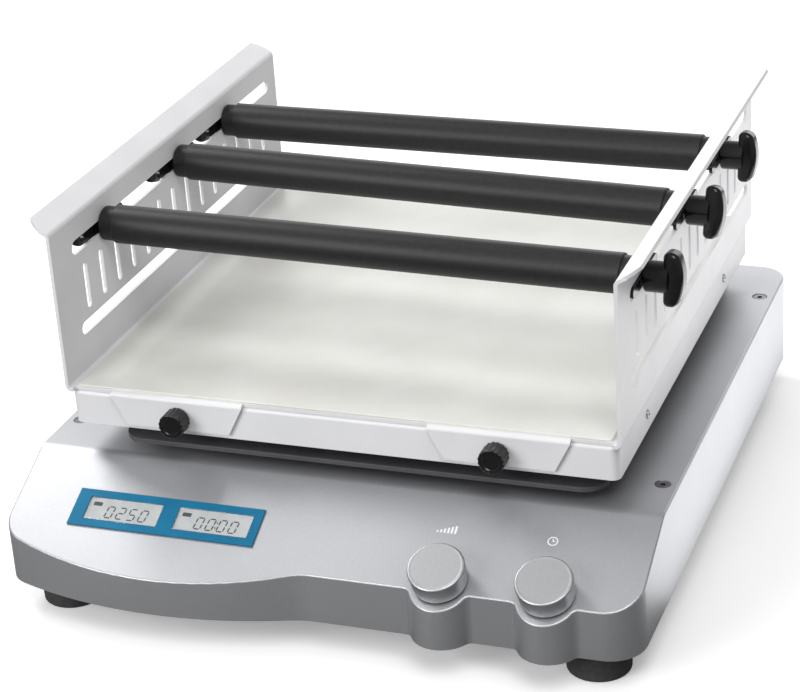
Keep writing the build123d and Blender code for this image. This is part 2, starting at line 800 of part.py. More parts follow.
with BuildPart() as ball_bushes:
    for x, y in block_places:
        with BuildSketch(Plane.YZ.offset(x - ball_bush_length / 2)):
            with Locations((y, guide_z)):
                Circle(ball_bush_radius)
                Circle(guide_radius + running_gap, mode=Mode.SUBTRACT)
        extrude(amount=ball_bush_length)
ball_bushes.part.label = "ball_bushes"
export_step(ball_bushes.part, "parts/ball_bushes.step")

with BuildPart() as carriage_plate:
    with BuildSketch(Plane.XY.offset(carriage_z)):
        with Locations((0, table_y)):
            RectangleRounded(carriage_length, carriage_width, carriage_thickness)
            with GridLocations(0, 2 * carriage_window_y, 1, 2):
                RectangleRounded(
                    carriage_window_length,
                    carriage_window_width,
                    carriage_thickness,
                    mode=Mode.SUBTRACT,
                )
        with Locations((eye_x, table_y)):
            Circle(pin_radius, mode=Mode.SUBTRACT)
    extrude(amount=carriage_thickness)
carriage_plate.part.label = "carriage_plate"
export_step(carriage_plate.part, "parts/carriage_plate.step")

# Drive pin: its lower end stops just over the rod's eye
with BuildPart() as drive_pin:
    with BuildSketch(Plane.XY.offset(rod_z + rod_height + slide_gap)):
        with Locations((eye_x, table_y)):
            Circle(pin_radius)
    extrude(amount=carriage_top - rod_z - rod_height - slide_gap)
    with BuildSketch(Plane.XY.offset(carriage_top)):
        with Locations((eye_x, table_y)):
            Circle(pin_radius + 2)
    extrude(amount=2)
drive_pin.part.label = "drive_pin"
export_step(drive_pin.part, "parts/drive_pin.step")

# Posts from the carriage up through the housing, and the plate on them
with BuildPart() as table_posts:
    with BuildSketch(Plane.XY.offset(carriage_top)):
        with Locations(post_places):
            Circle(table_post_radius)
    extrude(amount=table_plate_bottom - carriage_top)
table_posts.part.label = "table_posts"
export_step(table_posts.part, "parts/table_posts.step")

with BuildPart() as table_plate:
    with BuildSketch(Plane.XY.offset(table_plate_bottom)):
        with Locations((table_plate_shift, table_y)):
            RectangleRounded(table_plate_width, table_plate_depth, table_plate_corner)
    extrude(amount=table_plate_sheet)
table_plate.part.label = "table_plate"
export_step(table_plate.part, "parts/table_plate.step")

with BuildPart() as platform_standoffs:
    with BuildSketch(Plane.XY.offset(table_plate_top)):
        with Locations(standoff_places):
            Circle(standoff_radius)
    extrude(amount=platform_top - platform_sheet - table_plate_top)
platform_standoffs.part.label = "platform_standoffs"
export_step(platform_standoffs.part, "parts/platform_standoffs.step")

# Platform: a shallow sheet-metal tray, upside down
with BuildPart() as platform:
    with BuildSketch(Plane.XY.offset(platform_bottom)):
        with Locations((0, table_y)):
            RectangleRounded(platform_width, platform_depth, platform_corner)
    extrude(amount=platform_height)
    fillet(platform.faces().sort_by(Axis.Z)[-1].edges(), platform_rim)
    with BuildSketch(Plane.XY.offset(platform_bottom)):
        with Locations((0, table_y)):
            RectangleRounded(
                platform_width - 2 * platform_sheet,
                platform_depth - 2 * platform_sheet,
                platform_corner - platform_sheet,
            )
    extrude(amount=platform_height - platform_sheet, mode=Mode.SUBTRACT)
    with BuildSketch(Plane.XZ.offset(-platform_front)):
        with Locations((-thumb_x, thumb_z), (thumb_x, thumb_z)):
            Circle(stud_radius + running_gap)
    extrude(amount=-platform_sheet, mode=Mode.SUBTRACT)
platform.part.label = "platform"
export_step(platform.part, "parts/platform.step")

# One front tab of the cradle, folded down over the platform's edge
fold_y = platform_front - seat_gap - sheet / 2
floor_middle = platform_top + sheet / 2
with BuildPart() as tab:
    with BuildSketch(Plane.YZ.offset(tab_inner)):
        with BuildLine():
            FilletPolyline(
                (platform_front + floor_setback + 2, floor_middle),
                (fold_y, floor_middle),
                (fold_y, tab_bottom),
                radius=bend_radius - sheet / 2,
            )
        trace(line_width=sheet)
    extrude(amount=tab_outer - tab_inner)
    with BuildSketch(Plane.XZ.offset(-(platform_front + 10))):
        with BuildLine():
            Polyline(
                (tab_inner, platform_top + 2 * sheet),
                (tab_inner, platform_top),
                (tab_inner + tab_slant, tab_bottom),
                (tab_outer - tab_slant, tab_bottom),
                (tab_outer, platform_top),
                (tab_outer, platform_top + 2 * sheet),
                close=True,
            )
        make_face()
    extrude(amount=20, mode=Mode.INTERSECT)

# Cradle: floor, two slotted side panels with leaning top flanges, and four tabs
flange_x = flange_reach * cos(radians(flange_rise))
flange_z = flange_reach * sin(radians(flange_rise))
skin_x = panel_outer - sheet / 2
with BuildPart() as cradle:
    with BuildSketch(Plane.XZ.offset(-panel_rear)):
        with BuildLine():
            FilletPolyline(
                (-skin_x - flange_x, panel_top + flange_z),
                (-skin_x, panel_top),
                (-skin_x, floor_middle),
                (skin_x, floor_middle),
                (skin_x, panel_top),
                (skin_x + flange_x, panel_top + flange_z),
                radius=bend_radius,
            )
        trace(line_width=sheet)
    extrude(amount=panel_rear - panel_front)
    # The floor stops short of the platform's edge between the side panels
    with BuildSketch(Plane.XY.offset(platform_top - 1)):
        with Locations((0, panel_front)):
            Rectangle(
                2 * (panel_inner - bend_radius),
                platform_front + floor_setback - panel_front,
                align=(Align.CENTER, Align.MIN),
            )
        with Locations((0, panel_rear)):
            Rectangle(
                2 * (panel_inner - bend_radius),
                panel_rear - platform_rear + floor_setback,
                align=(Align.CENTER, Align.MAX),
            )
    extrude(amount=sheet + 2, mode=Mode.SUBTRACT)
    # Rounded ends of the leaning flanges
    with BuildSketch(Plane.XY.offset(panel_top + bend_radius)):
        flange_edge = skin_x + flange_x + sheet
        for side in (-1, 1):
            for y, turn in ((panel_front, 1), (panel_rear, -1)):
                with Locations((side * (flange_edge - flange_corner / 2), y + turn * flange_corner / 2)):
                    Rectangle(flange_corner, flange_corner)
                with Locations((side * (flange_edge - flange_corner), y + turn * flange_corner)):
                    Circle(flange_corner, mode=Mode.SUBTRACT)
    extrude(amount=flange_z + sheet, mode=Mode.SUBTRACT)
    # Slots: one row for the bars, one low row, and the short upright ones between
    with BuildSketch(Plane.YZ):
        with Locations((slot_middle, bar_slot_z)):
            SlotOverall(slot_length, bar_slot_height)
        with Locations((slot_middle, low_slot_z)):
            SlotOverall(slot_length, low_slot_height)
        first_vent = platform_front + vent_front
        with Locations([(first_vent + i * vent_pitch, vent_z) for i in range(vent_count)]):
            SlotOverall(vent_height, vent_width, rotation=90)
    extrude(amount=panel_outer + sheet, both=True, mode=Mode.SUBTRACT)
    add(tab.part)
    add(mirror(tab.part, about=Plane.YZ))
    rear_tab = mirror(tab.part, about=Plane.XZ.offset(-table_y))
    add(rear_tab)
    add(mirror(rear_tab, about=Plane.YZ))
    with BuildSketch(Plane.XZ.offset(-platform_front)):
        with Locations((-thumb_x, thumb_z), (thumb_x, thumb_z)):
            Circle(stud_radius + running_gap)
    extrude(amount=2 * sheet, mode=Mode.SUBTRACT)
cradle.part.label = "cradle"
export_step(cradle.part, "parts/cradle.step")

# Mat on the cradle's floor
with BuildPart() as mat:
    with BuildSketch(Plane.XY.offset(floor_top)):
        with Locations((0, table_y)):
            RectangleRounded(
                2 * (panel_inner - mat_margin),
                platform_depth - 2 * (floor_setback + seat_gap),
                3,
            )
    extrude(amount=mat_thickness)
    fillet(mat.faces().sort_by(Axis.Z)[-1].edges(), 0.6)
mat.part.label = "mat"
export_step(mat.part, "parts/mat.step")

# Three holding bars, each with a rubber sleeve, a runner in each panel's slot and two clamp handles
for name, step, skew, handle_turn in zip(bar_names, bar_steps, bar_skews, handle_turns):
    along = Vector(cos(radians(skew)), sin(radians(skew)), 0)
    lean = abs(sin(radians(skew)))
    bar_middle = Vector(0, table_y + step, bar_slot_z)
    core_end = (panel_inner - seat_gap - sleeve_radius * lean) / along.X
    stud_end = panel_outer + stud_reach
    core_plane = Plane(origin=bar_middle - along * core_end, x_dir=(-along.Y, along.X, 0), z_dir=along)
    stud_plane = Plane(origin=bar_middle - along * stud_end, x_dir=(-along.Y, along.X, 0), z_dir=along)
    with BuildPart() as bar_core:
        with BuildSketch(core_plane):
            Circle(bar_core_radius)
        extrude(amount=2 * core_end)
        with BuildSketch(stud_plane):
            Circle(stud_radius)
        extrude(amount=2 * stud_end)
    bar_core.part.label = f"{name}_bar_core"
    export_step(bar_core.part, f"parts/{name}_bar_core.step")

    with BuildPart() as bar_sleeve:
        with BuildSketch(core_plane):
            Circle(cap_radius)
        extrude(amount=2 * core_end)
        with BuildSketch(core_plane.offset(cap_length)):
            Circle(sleeve_radius)
        extrude(amount=2 * (core_end - cap_length))
        tube_ends = bar_sleeve.edges().filter_by(GeomType.CIRCLE)
        chamfer(tube_ends.filter_by(lambda e: e.radius > cap_radius + running_gap), sleeve_chamfer)
        with BuildSketch(core_plane):
            Circle(bar_core_radius)
        extrude(amount=2 * core_end, mode=Mode.SUBTRACT)
    bar_sleeve.part.label = f"{name}_bar_sleeve"
    export_step(bar_sleeve.part, f"parts/{name}_bar_sleeve.step")

    with BuildPart() as bar_runners:
        for side in (-1, 1):
            runner_y = bar_middle.Y + side * (runner_inner + runner_outer) / 2 * along.Y / along.X
            with BuildSketch(Plane.YZ.offset(side * runner_inner)):
                with Locations((runner_y, bar_slot_z)):
                    SlotOverall(runner_length, runner_height)
                    SlotOverall(3 * stud_radius, 2 * (stud_radius + stud_slip), mode=Mode.SUBTRACT)
            extrude(amount=side * runner_thickness)
    bar_runners.part.label = f"{name}_bar_runners"
    export_step(bar_runners.part, f"parts/{name}_bar_runners.step")

    for side_name, side in (("left", -1), ("right", 1)):
        outward = along * side
        hub_start = (runner_outer + seat_gap + hub_radius * lean) / along.X
        hub_plane = Plane(origin=bar_middle + outward * hub_start, x_dir=(0, 0, 1), z_dir=outward)
        grip_plane = Plane(
            origin=bar_middle + outward * (hub_start + hub_length),
            x_dir=outward,
            z_dir=outward.cross(Vector(0, 0, 1)),
        )
        with BuildPart() as handle:
            with BuildSketch(grip_plane) as grip:
                with BuildLine():
                    half = grip_length / 2
                    Polyline((grip_end, -half), (0, -half), (0, half), (grip_end, half))
                    ThreePointArc((grip_end, half), (grip_middle, 0), (grip_end, -half))
                make_face()
                fillet(grip.vertices(), grip_corner)
            extrude(amount=grip_width / 2, both=True)
            fillet(handle.faces().sort_by(Axis.Y)[0].edges(), grip_round)
            fillet(handle.faces().sort_by(Axis.Y)[-1].edges(), grip_round)
            with BuildSketch(hub_plane):
                Circle(hub_radius)
            extrude(amount=hub_length + grip_round)
            with BuildSketch(hub_plane):
                Circle(stud_radius + running_gap)
            extrude(amount=stud_end - hub_start + seat_gap, mode=Mode.SUBTRACT)
        bar_axis = Axis(bar_middle, along)
        handle.part = handle.part.rotate(bar_axis, handle_turn)
        handle.part.label = f"{name}_{side_name}_handle"
        export_step(handle.part, f"parts/{name}_{side_name}_handle.step")

# Knurled thumb screws through the front tabs
thumb_seat = platform_front - seat_gap - sheet - seat_gap
for side_name, x in (("left", -thumb_x), ("right", thumb_x)):
    with BuildPart() as thumb_screw:
        with BuildSketch(Plane.XZ.offset(-thumb_seat)):
            with Locations((x, thumb_z)):
                Circle(thumb_radius)
                with PolarLocations(thumb_radius + thumb_flute_radius / 3, thumb_flutes):
                    Circle(thumb_flute_radius, mode=Mode.SUBTRACT)
        extrude(amount=thumb_length)
        with BuildSketch(Plane.XZ.offset(-thumb_seat)):
            with Locations((x, thumb_z)):
                Circle(stud_radius)
        extrude(amount=-thumb_stud)
    thumb_screw.part.label = f"{side_name}_thumb_screw"
    export_step(thumb_screw.part, f"parts/{side_name}_thumb_screw.step")

# Fixed spindle of the eccentric, with two ball bearings
with BuildPart() as crank_spindle:
    with BuildSketch(Plane.XY.offset(plate_top)):
        with Locations(crank_place):
            Circle(spindle_foot_radius)
    extrude(amount=pulley_z - plate_top - slide_gap)
    with BuildSketch(Plane.XY.offset(plate_top)):
        with Locations(crank_place):
            Circle(spindle_radius)
    eccentric_top = pulley_z + pulley_height + eccentric_height
    extrude(amount=eccentric_top - plate_top)
    with BuildSketch(Plane.XY.offset(eccentric_top)):
        with Locations(crank_place):
            Circle(spindle_radius + 3)
    extrude(amount=2)
crank_spindle.part.label = "crank_spindle"
export_step(crank_spindle.part, "parts/crank_spindle.step")

with BuildPart() as crank_bearings:
    for z in (pulley_z + 1, eccentric_top - crank_bearing_height):
        with BuildSketch(Plane.XY.offset(z)):
            with Locations(crank_place):
                Circle(crank_bearing_radius)
                Circle(spindle_radius, mode=Mode.SUBTRACT)
        extrude(amount=crank_bearing_height)
crank_bearings.part.label = "crank_bearings"
export_step(crank_bearings.part, "parts/crank_bearings.step")

# Driven pulley with a ring turned out of its top, and the eccentric on it
with BuildPart() as crank_pulley:
    with BuildSketch(Plane.XY.offset(pulley_z)):
        with Locations(crank_place):
            Circle(crank_pulley_radius)
            Circle(crank_bearing_radius + running_gap, mode=Mode.SUBTRACT)
    extrude(amount=pulley_height)
    with BuildSketch(Plane.XY.offset(pulley_z + pulley_height - pulley_recess)):
        with Locations(crank_place):
            Circle(crank_pulley_radius - pulley_rim)
            Circle(pulley_hub_radius, mode=Mode.SUBTRACT)
    extrude(amount=pulley_recess, mode=Mode.SUBTRACT)
crank_pulley.part.label = "crank_pulley"
export_step(crank_pulley.part, "parts/crank_pulley.step")

eccentric_place = (crank_x, table_y + stroke)
with BuildPart() as eccentric:
    with BuildSketch(Plane.XY.offset(pulley_z + pulley_height)):
        with Locations(eccentric_place):
            Circle(eccentric_radius)
        with Locations(crank_place):
            Circle(crank_bearing_radius + running_gap, mode=Mode.SUBTRACT)
    extrude(amount=eccentric_height)
eccentric.part.label = "eccentric"
export_step(eccentric.part, "parts/eccentric.step")

# Connecting rod: bearing ring, tapered web and eye, drawn at mid-stroke
with BuildPart() as connecting_rod:
    with BuildSketch(Plane.XY.offset(rod_z)):
        with Locations(eccentric_place):
            Circle(rod_bearing_radius + rod_ring)
        with Locations((eye_x, table_y)):
            Circle(eye_radius)
        with BuildLine():
            Line(
                (crank_x + rod_bearing_radius, table_y + stroke + rod_width),
                (eye_x, table_y + eye_radius - 1),
            )
            Line((eye_x, table_y + eye_radius - 1), (eye_x, table_y - eye_radius + 1))
            Line(
                (eye_x, table_y - eye_radius + 1),
                (crank_x + rod_bearing_radius, table_y + stroke - rod_width),
            )
            Line(
                (crank_x + rod_bearing_radius, table_y + stroke - rod_width),
                (crank_x + rod_bearing_radius, table_y + stroke + rod_width),
            )
        make_face()
        with Locations(eccentric_place):
            Circle(rod_bearing_radius, mode=Mode.SUBTRACT)
        with Locations((eye_x, table_y)):
            Circle(pin_radius + running_gap, mode=Mode.SUBTRACT)
    extrude(amount=rod_height)
connecting_rod.part.label = "connecting_rod"
export_step(connecting_rod.part, "parts/connecting_rod.step")

with BuildPart() as rod_bearing:
    with BuildSketch(Plane.XY.offset(rod_z + (rod_height - rod_bearing_height) / 2)):
        with Locations(eccentric_place):
            Circle(rod_bearing_radius)
            Circle(eccentric_radius + running_gap, mode=Mode.SUBTRACT)
    extrude(amount=rod_bearing_height)
rod_bearing.part.label = "rod_bearing"
export_step(rod_bearing.part, "parts/rod_bearing.step")

# Motor, hung upside down from its bracket's plate
with BuildPart() as motor:
    with BuildSketch(Plane.XY.offset(motor_bottom)):
        with Locations(motor_place):
            Circle(motor_radius)
    extrude(amount=motor_height)
    fillet(motor.faces().sort_by(Axis.Z)[-1].edges(), 3)
    with BuildSketch(Plane.XY.offset(motor_bottom)):
        with Locations(motor_place):
            Circle(motor_shaft_radius + running_gap)
    extrude(amount=motor_height / 2, mode=Mode.SUBTRACT)
motor.part.label = "motor"
export_step(motor.part, "parts/motor.step")

bracket_bottom = motor_bottom - bracket_thickness
with BuildPart() as motor_bracket:
    with BuildSketch(Plane.XY.offset(bracket_bottom)):
        with Locations(motor_place):
            RectangleRounded(2 * motor_radius + 4, 2 * motor_radius + 10, 6)
            Circle(flange_radius + 2, mode=Mode.SUBTRACT)
    extrude(amount=bracket_thickness)
    with BuildSketch(Plane.XY.offset(plate_top)):
        with Locations(motor_place):
            with GridLocations(2 * motor_radius - 8, 2 * motor_radius - 2, 2, 2):
                Circle(bracket_leg)
    extrude(amount=bracket_bottom - plate_top)
motor_bracket.part.label = "motor_bracket"
export_step(motor_bracket.part, "parts/motor_bracket.step")

with BuildPart() as motor_shaft:
    with BuildSketch(Plane.XY.offset(pulley_z - 1)):
        with Locations(motor_place):
            Circle(motor_shaft_radius)
    extrude(amount=motor_bottom + motor_height / 2 - seat_gap - pulley_z + 1)
motor_shaft.part.label = "motor_shaft"
export_step(motor_shaft.part, "parts/motor_shaft.step")

with BuildPart() as motor_pulley:
    with BuildSketch(Plane.XY.offset(pulley_z)):
        with Locations(motor_place):
            Circle(motor_pulley_radius)
    extrude(amount=pulley_height)
    for z in (pulley_z, pulley_z + pulley_height - flange_height):
        with BuildSketch(Plane.XY.offset(z)):
            with Locations(motor_place):
                Circle(flange_radius)
        extrude(amount=flange_height)
    with BuildSketch(Plane.XY.offset(pulley_z)):
        with Locations(motor_place):
            Circle(motor_shaft_radius)
    extrude(amount=pulley_height, mode=Mode.SUBTRACT)
motor_pulley.part.label = "motor_pulley"
export_step(motor_pulley.part, "parts/motor_pulley.step")

# Flat drive belt round both pulleys
with BuildSketch() as belt_inside:
    with Locations(crank_place):
        Circle(crank_pulley_radius + belt_gap)
    with Locations(motor_place):
        Circle(motor_pulley_radius + belt_gap)
    make_hull()

belt_bottom = pulley_z + flange_height + seat_gap
with BuildPart() as drive_belt:
    with BuildSketch(Plane.XY.offset(belt_bottom)):
        add(belt_inside.sketch)
        offset(amount=belt_thickness)
        add(belt_inside.sketch, mode=Mode.SUBTRACT)
    extrude(amount=pulley_height - 2 * flange_height - 2 * seat_gap)
drive_belt.part.label = "drive_belt"
export_step(drive_belt.part, "parts/drive_belt.step")
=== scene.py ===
import bpy
import json
from math import cos, pi, radians, sin, sqrt, tan
from mathutils import Matrix, Vector


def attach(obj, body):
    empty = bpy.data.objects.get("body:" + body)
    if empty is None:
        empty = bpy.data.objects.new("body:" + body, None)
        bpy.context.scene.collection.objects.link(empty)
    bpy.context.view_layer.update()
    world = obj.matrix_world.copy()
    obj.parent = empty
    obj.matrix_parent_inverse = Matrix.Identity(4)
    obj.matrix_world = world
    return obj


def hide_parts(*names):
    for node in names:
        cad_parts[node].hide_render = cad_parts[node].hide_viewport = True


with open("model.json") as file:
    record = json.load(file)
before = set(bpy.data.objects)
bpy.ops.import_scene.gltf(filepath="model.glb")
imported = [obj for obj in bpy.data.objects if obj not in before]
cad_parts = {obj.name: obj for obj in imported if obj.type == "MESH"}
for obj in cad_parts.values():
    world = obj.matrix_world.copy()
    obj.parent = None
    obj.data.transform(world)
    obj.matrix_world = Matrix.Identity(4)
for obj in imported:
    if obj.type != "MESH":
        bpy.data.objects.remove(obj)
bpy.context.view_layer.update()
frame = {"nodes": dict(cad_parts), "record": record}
print("frame loaded")

joints = {joint["name"]: joint for joint in frame["record"]["behaviour"]["joints"]}


# Small helpers

def mm(value):
    return value / 1000


def inMm(value):
    return value * 1000


def colour(text):
    # sRGB hex to the linear values that Blender's shaders take
    def channel(byte):
        share = byte / 255
        return share / 12.92 if share <= 0.04045 else ((share + 0.055) / 1.055) ** 2.4
    return tuple(channel(int(text[i:i + 2], 16)) for i in (0, 2, 4)) + (1.0,)


def selectNothing():
    if bpy.context.object and bpy.context.object.mode != "OBJECT":
        bpy.ops.object.mode_set(mode="OBJECT")
    bpy.ops.object.select_all(action="DESELECT")


def selectOnly(piece):
    selectNothing()
    piece.select_set(True)
    bpy.context.view_layer.objects.active = piece


def applyModifier(piece, kind, **settings):
    selectOnly(piece)
    modifier = piece.modifiers.new(kind.title(), kind)
    for name, value in settings.items():
        setattr(modifier, name, value)
    bpy.ops.object.modifier_apply(modifier=modifier.name)


def smoothByAngle(piece, angle):
    # Smooth over gentle bends only, with flat faces kept flat beside their rounded edges
    selectOnly(piece)
    bpy.ops.object.shade_smooth_by_angle(angle=radians(angle))
    applyModifier(piece, "WEIGHTED_NORMAL", weight=80, keep_sharp=True)


def settle(piece, place):
    # Moves a piece to its place and puts that into its mesh
    selectOnly(piece)
    piece.matrix_world = place
    bpy.ops.object.transform_apply(location=True, rotation=True, scale=True)
    return piece


def frameAt(origin, along, up=(0, 0, 1)):
    # A place whose Z runs along an axis and whose Y leans to up
    z = Vector(along).normalized()
    x = Vector(up).cross(z).normalized()
    return Matrix.Translation(Vector(origin)) @ Matrix((x, z.cross(x), z)).transposed().to_4x4()


def shifted(place, x=0.0, y=0.0, z=0.0):
    return place @ Matrix.Translation((mm(x), mm(y), mm(z)))


def duplicate(piece, name):
    twin = bpy.data.objects.new(name, piece.data.copy())
    bpy.context.scene.collection.objects.link(twin)
    return twin


def copiesAt(piece, places, name):
    # One piece out of copies of another at each place, the first included
    twins = [duplicate(piece, name) for _ in places[1:]] + [piece]
    for twin, place in zip(twins, places):
        settle(twin, place)
    return joinPieces(twins, name)


def joinPieces(pieces, name):
    selectNothing()
    for piece in pieces:
        piece.select_set(True)
    bpy.context.view_layer.objects.active = pieces[0]
    if len(pieces) > 1:
        bpy.ops.object.join()
    joined = bpy.context.object
    joined.name = joined.data.name = name
    return joined


def copyNode(node, name):
    # A merged copy of a CAD node, so that its curves shade smoothly
    source = frame["nodes"][node]
    piece = bpy.data.objects.new(name, source.data.copy())
    bpy.context.scene.collection.objects.link(piece)
    piece.data.name = name
    piece.data.materials.clear()
    selectOnly(piece)
    bpy.ops.object.mode_set(mode="EDIT")
    bpy.ops.mesh.select_all(action="SELECT")
    bpy.ops.mesh.remove_doubles(threshold=mm(0.004))
    # Flat faces become whole again, so that a rounded edge beside them doesn't tilt their shading
    bpy.ops.mesh.dissolve_limited(angle_limit=radians(0.05))
    bpy.ops.object.mode_set(mode="OBJECT")
    return piece


def turned(name, steps, sides=96, hollow=False):
    # A turned piece: a circle that is extruded and resized from step to step, each (radius, height) in mm.
    # A hollow one ends at its first step and has no end faces of its own.
    selectNothing()
    radius, height = steps[0]
    fill = "NOTHING" if hollow else "NGON"
    bpy.ops.mesh.primitive_circle_add(vertices=sides, radius=mm(radius), fill_type=fill, location=(0, 0, 0))
    piece = bpy.context.object
    piece.name = piece.data.name = name
    bpy.ops.object.mode_set(mode="EDIT")
    bpy.ops.mesh.select_all(action="SELECT")
    bpy.ops.transform.translate(value=(0, 0, mm(height)))
    for nextRadius, nextHeight in steps[1:]:
        bpy.ops.mesh.extrude_region_move(TRANSFORM_OT_translate={"value": (0, 0, mm(nextHeight - height))})
        if nextRadius != radius:
            share = nextRadius / radius
            bpy.ops.transform.resize(value=(share, share, 1), center_override=(0, 0, mm(nextHeight)))
        radius, height = nextRadius, nextHeight
    bpy.ops.mesh.select_all(action="SELECT")
    if hollow:
        bpy.ops.mesh.remove_doubles(threshold=mm(0.002))
    bpy.ops.mesh.normals_make_consistent(inside=False)
    bpy.ops.object.mode_set(mode="OBJECT")
    return piece


def roundedEdge(radius, height, edge, parts=6):
    # Steps of a quarter round, from the side of a turned piece over to its top
    angles = [pi / 2 * part / parts for part in range(parts + 1)]
    return [(radius - edge + edge * cos(a), height - edge + edge * sin(a)) for a in angles]


def extrudeUp(height):
    # Makes a solid of the flat outline that is open in edit mode, and leaves edit mode
    bpy.ops.mesh.select_all(action="SELECT")
    bpy.ops.mesh.extrude_region_move(TRANSFORM_OT_translate={"value": (0, 0, mm(height))})
    bpy.ops.mesh.select_all(action="SELECT")
    bpy.ops.mesh.normals_make_consistent(inside=False)
    bpy.ops.object.mode_set(mode="OBJECT")


def slab(name, width, depth, height, corner=0.0, parts=5):
    # A flat block on the plane z = 0, with rounded corners in plan
    selectNothing()
    bpy.ops.mesh.primitive_plane_add(size=1, location=(0, 0, 0))
    piece = bpy.context.object
    piece.name = piece.data.name = name
    bpy.ops.object.mode_set(mode="EDIT")
    bpy.ops.mesh.select_all(action="SELECT")
    bpy.ops.transform.resize(value=(mm(width), mm(depth), 1))
    if corner:
        bpy.ops.mesh.bevel(offset=mm(corner), offset_type="OFFSET", segments=parts, affect="VERTICES")
    extrudeUp(height)
    return piece


def ringOf(name, outer, inner, height, sides):
    # A flat ring on the plane z = 0
    steps = [(outer, 0), (outer, height), (inner, height), (inner, 0), (outer, 0)]
    return turned(name, steps, sides, hollow=True)


def cut(piece, tool):
    applyModifier(piece, "BOOLEAN", operation="DIFFERENCE", solver="EXACT", object=tool)
    bpy.data.objects.remove(tool, do_unlink=True)


def easeEdges(piece, width, segments, angle=40):
    # Rounds the edges whose faces meet at more than this angle
    applyModifier(piece, "BEVEL", width=mm(width), segments=segments, limit_method="ANGLE",
                  angle_limit=radians(angle))


def fourPlaces(v, z=0.0):
    # The places of four like pieces, left and right, front and rear
    return [
        Matrix.Translation((mm(x), mm(y), mm(z)))
        for x in (-v["x"], v["x"])
        for y in (v["front"], v["rear"])
    ]


def dress(piece, material, body, slot, *replaced):
    # Gives a finished piece its material, the body it rides on and the nodes it stands for
    piece.data.materials.clear()
    piece.data.materials.append(material)
    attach(piece, body)
    if replaced:
        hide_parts(*replaced)


# Materials

def addNode(tree, kind, inputs=None, **settings):
    # A shader node with its inputs set, or linked where they are given as sockets
    node = tree.nodes.new(kind)
    for name, value in settings.items():
        setattr(node, name, value)
    for name, value in (inputs or {}).items():
        if isinstance(value, bpy.types.NodeSocket):
            tree.links.new(value, node.inputs[name])
        else:
            node.inputs[name].default_value = value
    return node


def newMaterial(name, **values):
    # The values are the shader's own sockets, with underscores for the spaces in their names
    material = bpy.data.materials.new(name)
    material.use_nodes = True
    tree = material.node_tree
    shader = tree.nodes["Principled BSDF"]
    for socket, value in values.items():
        shader.inputs[socket.replace("_", " ")].default_value = value
    place = addNode(tree, "ShaderNodeTexCoord").outputs["Object"]
    return material, tree, shader, place


def noiseAt(tree, place, size, detail):
    # Noise with a grain of this size in mm
    inputs = {"Vector": place, "Scale": 1 / mm(size), "Detail": detail}
    return addNode(tree, "ShaderNodeTexNoise", inputs).outputs["Fac"]


def tintByNoise(tree, place, size, first, second, low=0.35, high=0.65, detail=3):
    ramp = addNode(tree, "ShaderNodeValToRGB", {"Fac": noiseAt(tree, place, size, detail)})
    for stop, position, tint in zip(ramp.color_ramp.elements, (low, high), (first, second)):
        stop.position = position
        stop.color = tint
    return ramp.outputs["Color"]


def roughByNoise(tree, place, size, low, high, detail=4):
    inputs = {"Value": noiseAt(tree, place, size, detail), "To Min": low, "To Max": high}
    return addNode(tree, "ShaderNodeMapRange", inputs).outputs["Result"]


def bumpByNoise(tree, place, size, depth, detail=2):
    inputs = {"Height": noiseAt(tree, place, size, detail), "Distance": mm(depth), "Strength": 1.0}
    return addNode(tree, "ShaderNodeBump", inputs).outputs["Normal"]


def coat(surface, tint=None, gloss=None, relief=None):
    # Gives a surface its tint (size, shade, base), gloss (size, low, high) and relief (size, depth, detail)
    material, tree, shader, place = surface
    if tint:
        size, shade, base = tint
        blend = tintByNoise(tree, place, size, colour(shade), colour(base))
        tree.links.new(blend, shader.inputs["Base Color"])
    if gloss:
        tree.links.new(roughByNoise(tree, place, *gloss), shader.inputs["Roughness"])
    if relief:
        tree.links.new(bumpByNoise(tree, place, *relief), shader.inputs["Normal"])
    return material


def metallicEnamel():
    # Cast aluminium sprayed with silver enamel: a mid grey that shines softly, with fine flakes
    # and a faint orange peel
    look = {"grey": "B9BABD", "flake": "C2C3C6", "flakeSize": 0.5, "flakeLow": 0.4, "flakeHigh": 0.62,
            "cloud": 60, "cloudTint": (0.93, 0.93, 0.94, 1), "cloudLow": 0.3, "cloudHigh": 0.7,
            "peel": 2.2, "peelDepth": 0.005, "smooth": 0.43, "dull": 0.5}
    surface = newMaterial("metallicEnamel", Metallic=0.85)
    material, tree, shader, place = surface
    flakes = tintByNoise(tree, place, look["flakeSize"], colour(look["grey"]), colour(look["flake"]),
                         look["flakeLow"], look["flakeHigh"], detail=2)
    cloud = tintByNoise(tree, place, look["cloud"], look["cloudTint"], (1, 1, 1, 1),
                        look["cloudLow"], look["cloudHigh"])
    inputs = {"Fac": 1.0, "Color1": flakes, "Color2": cloud}
    mix = addNode(tree, "ShaderNodeMixRGB", inputs, blend_type="MULTIPLY")
    tree.links.new(mix.outputs["Color"], shader.inputs["Base Color"])
    return coat(
        surface,
        gloss=(look["peel"], look["smooth"], look["dull"]),
        relief=(look["peel"], look["peelDepth"]),
    )


def powderCoat(name, base, shade, rough):
    # Baked powder over sheet steel: an even satin skin with a slight orange peel, a little darker
    # where it is thin
    look = {"cloud": 35, "peel": 1.4, "peelDepth": 0.01, "spread": 0.05}
    return coat(
        newMaterial(name),
        tint=(look["cloud"], shade, base),
        gloss=(look["peel"], rough - look["spread"], rough + look["spread"]),
        relief=(look["peel"], look["peelDepth"]),
    )


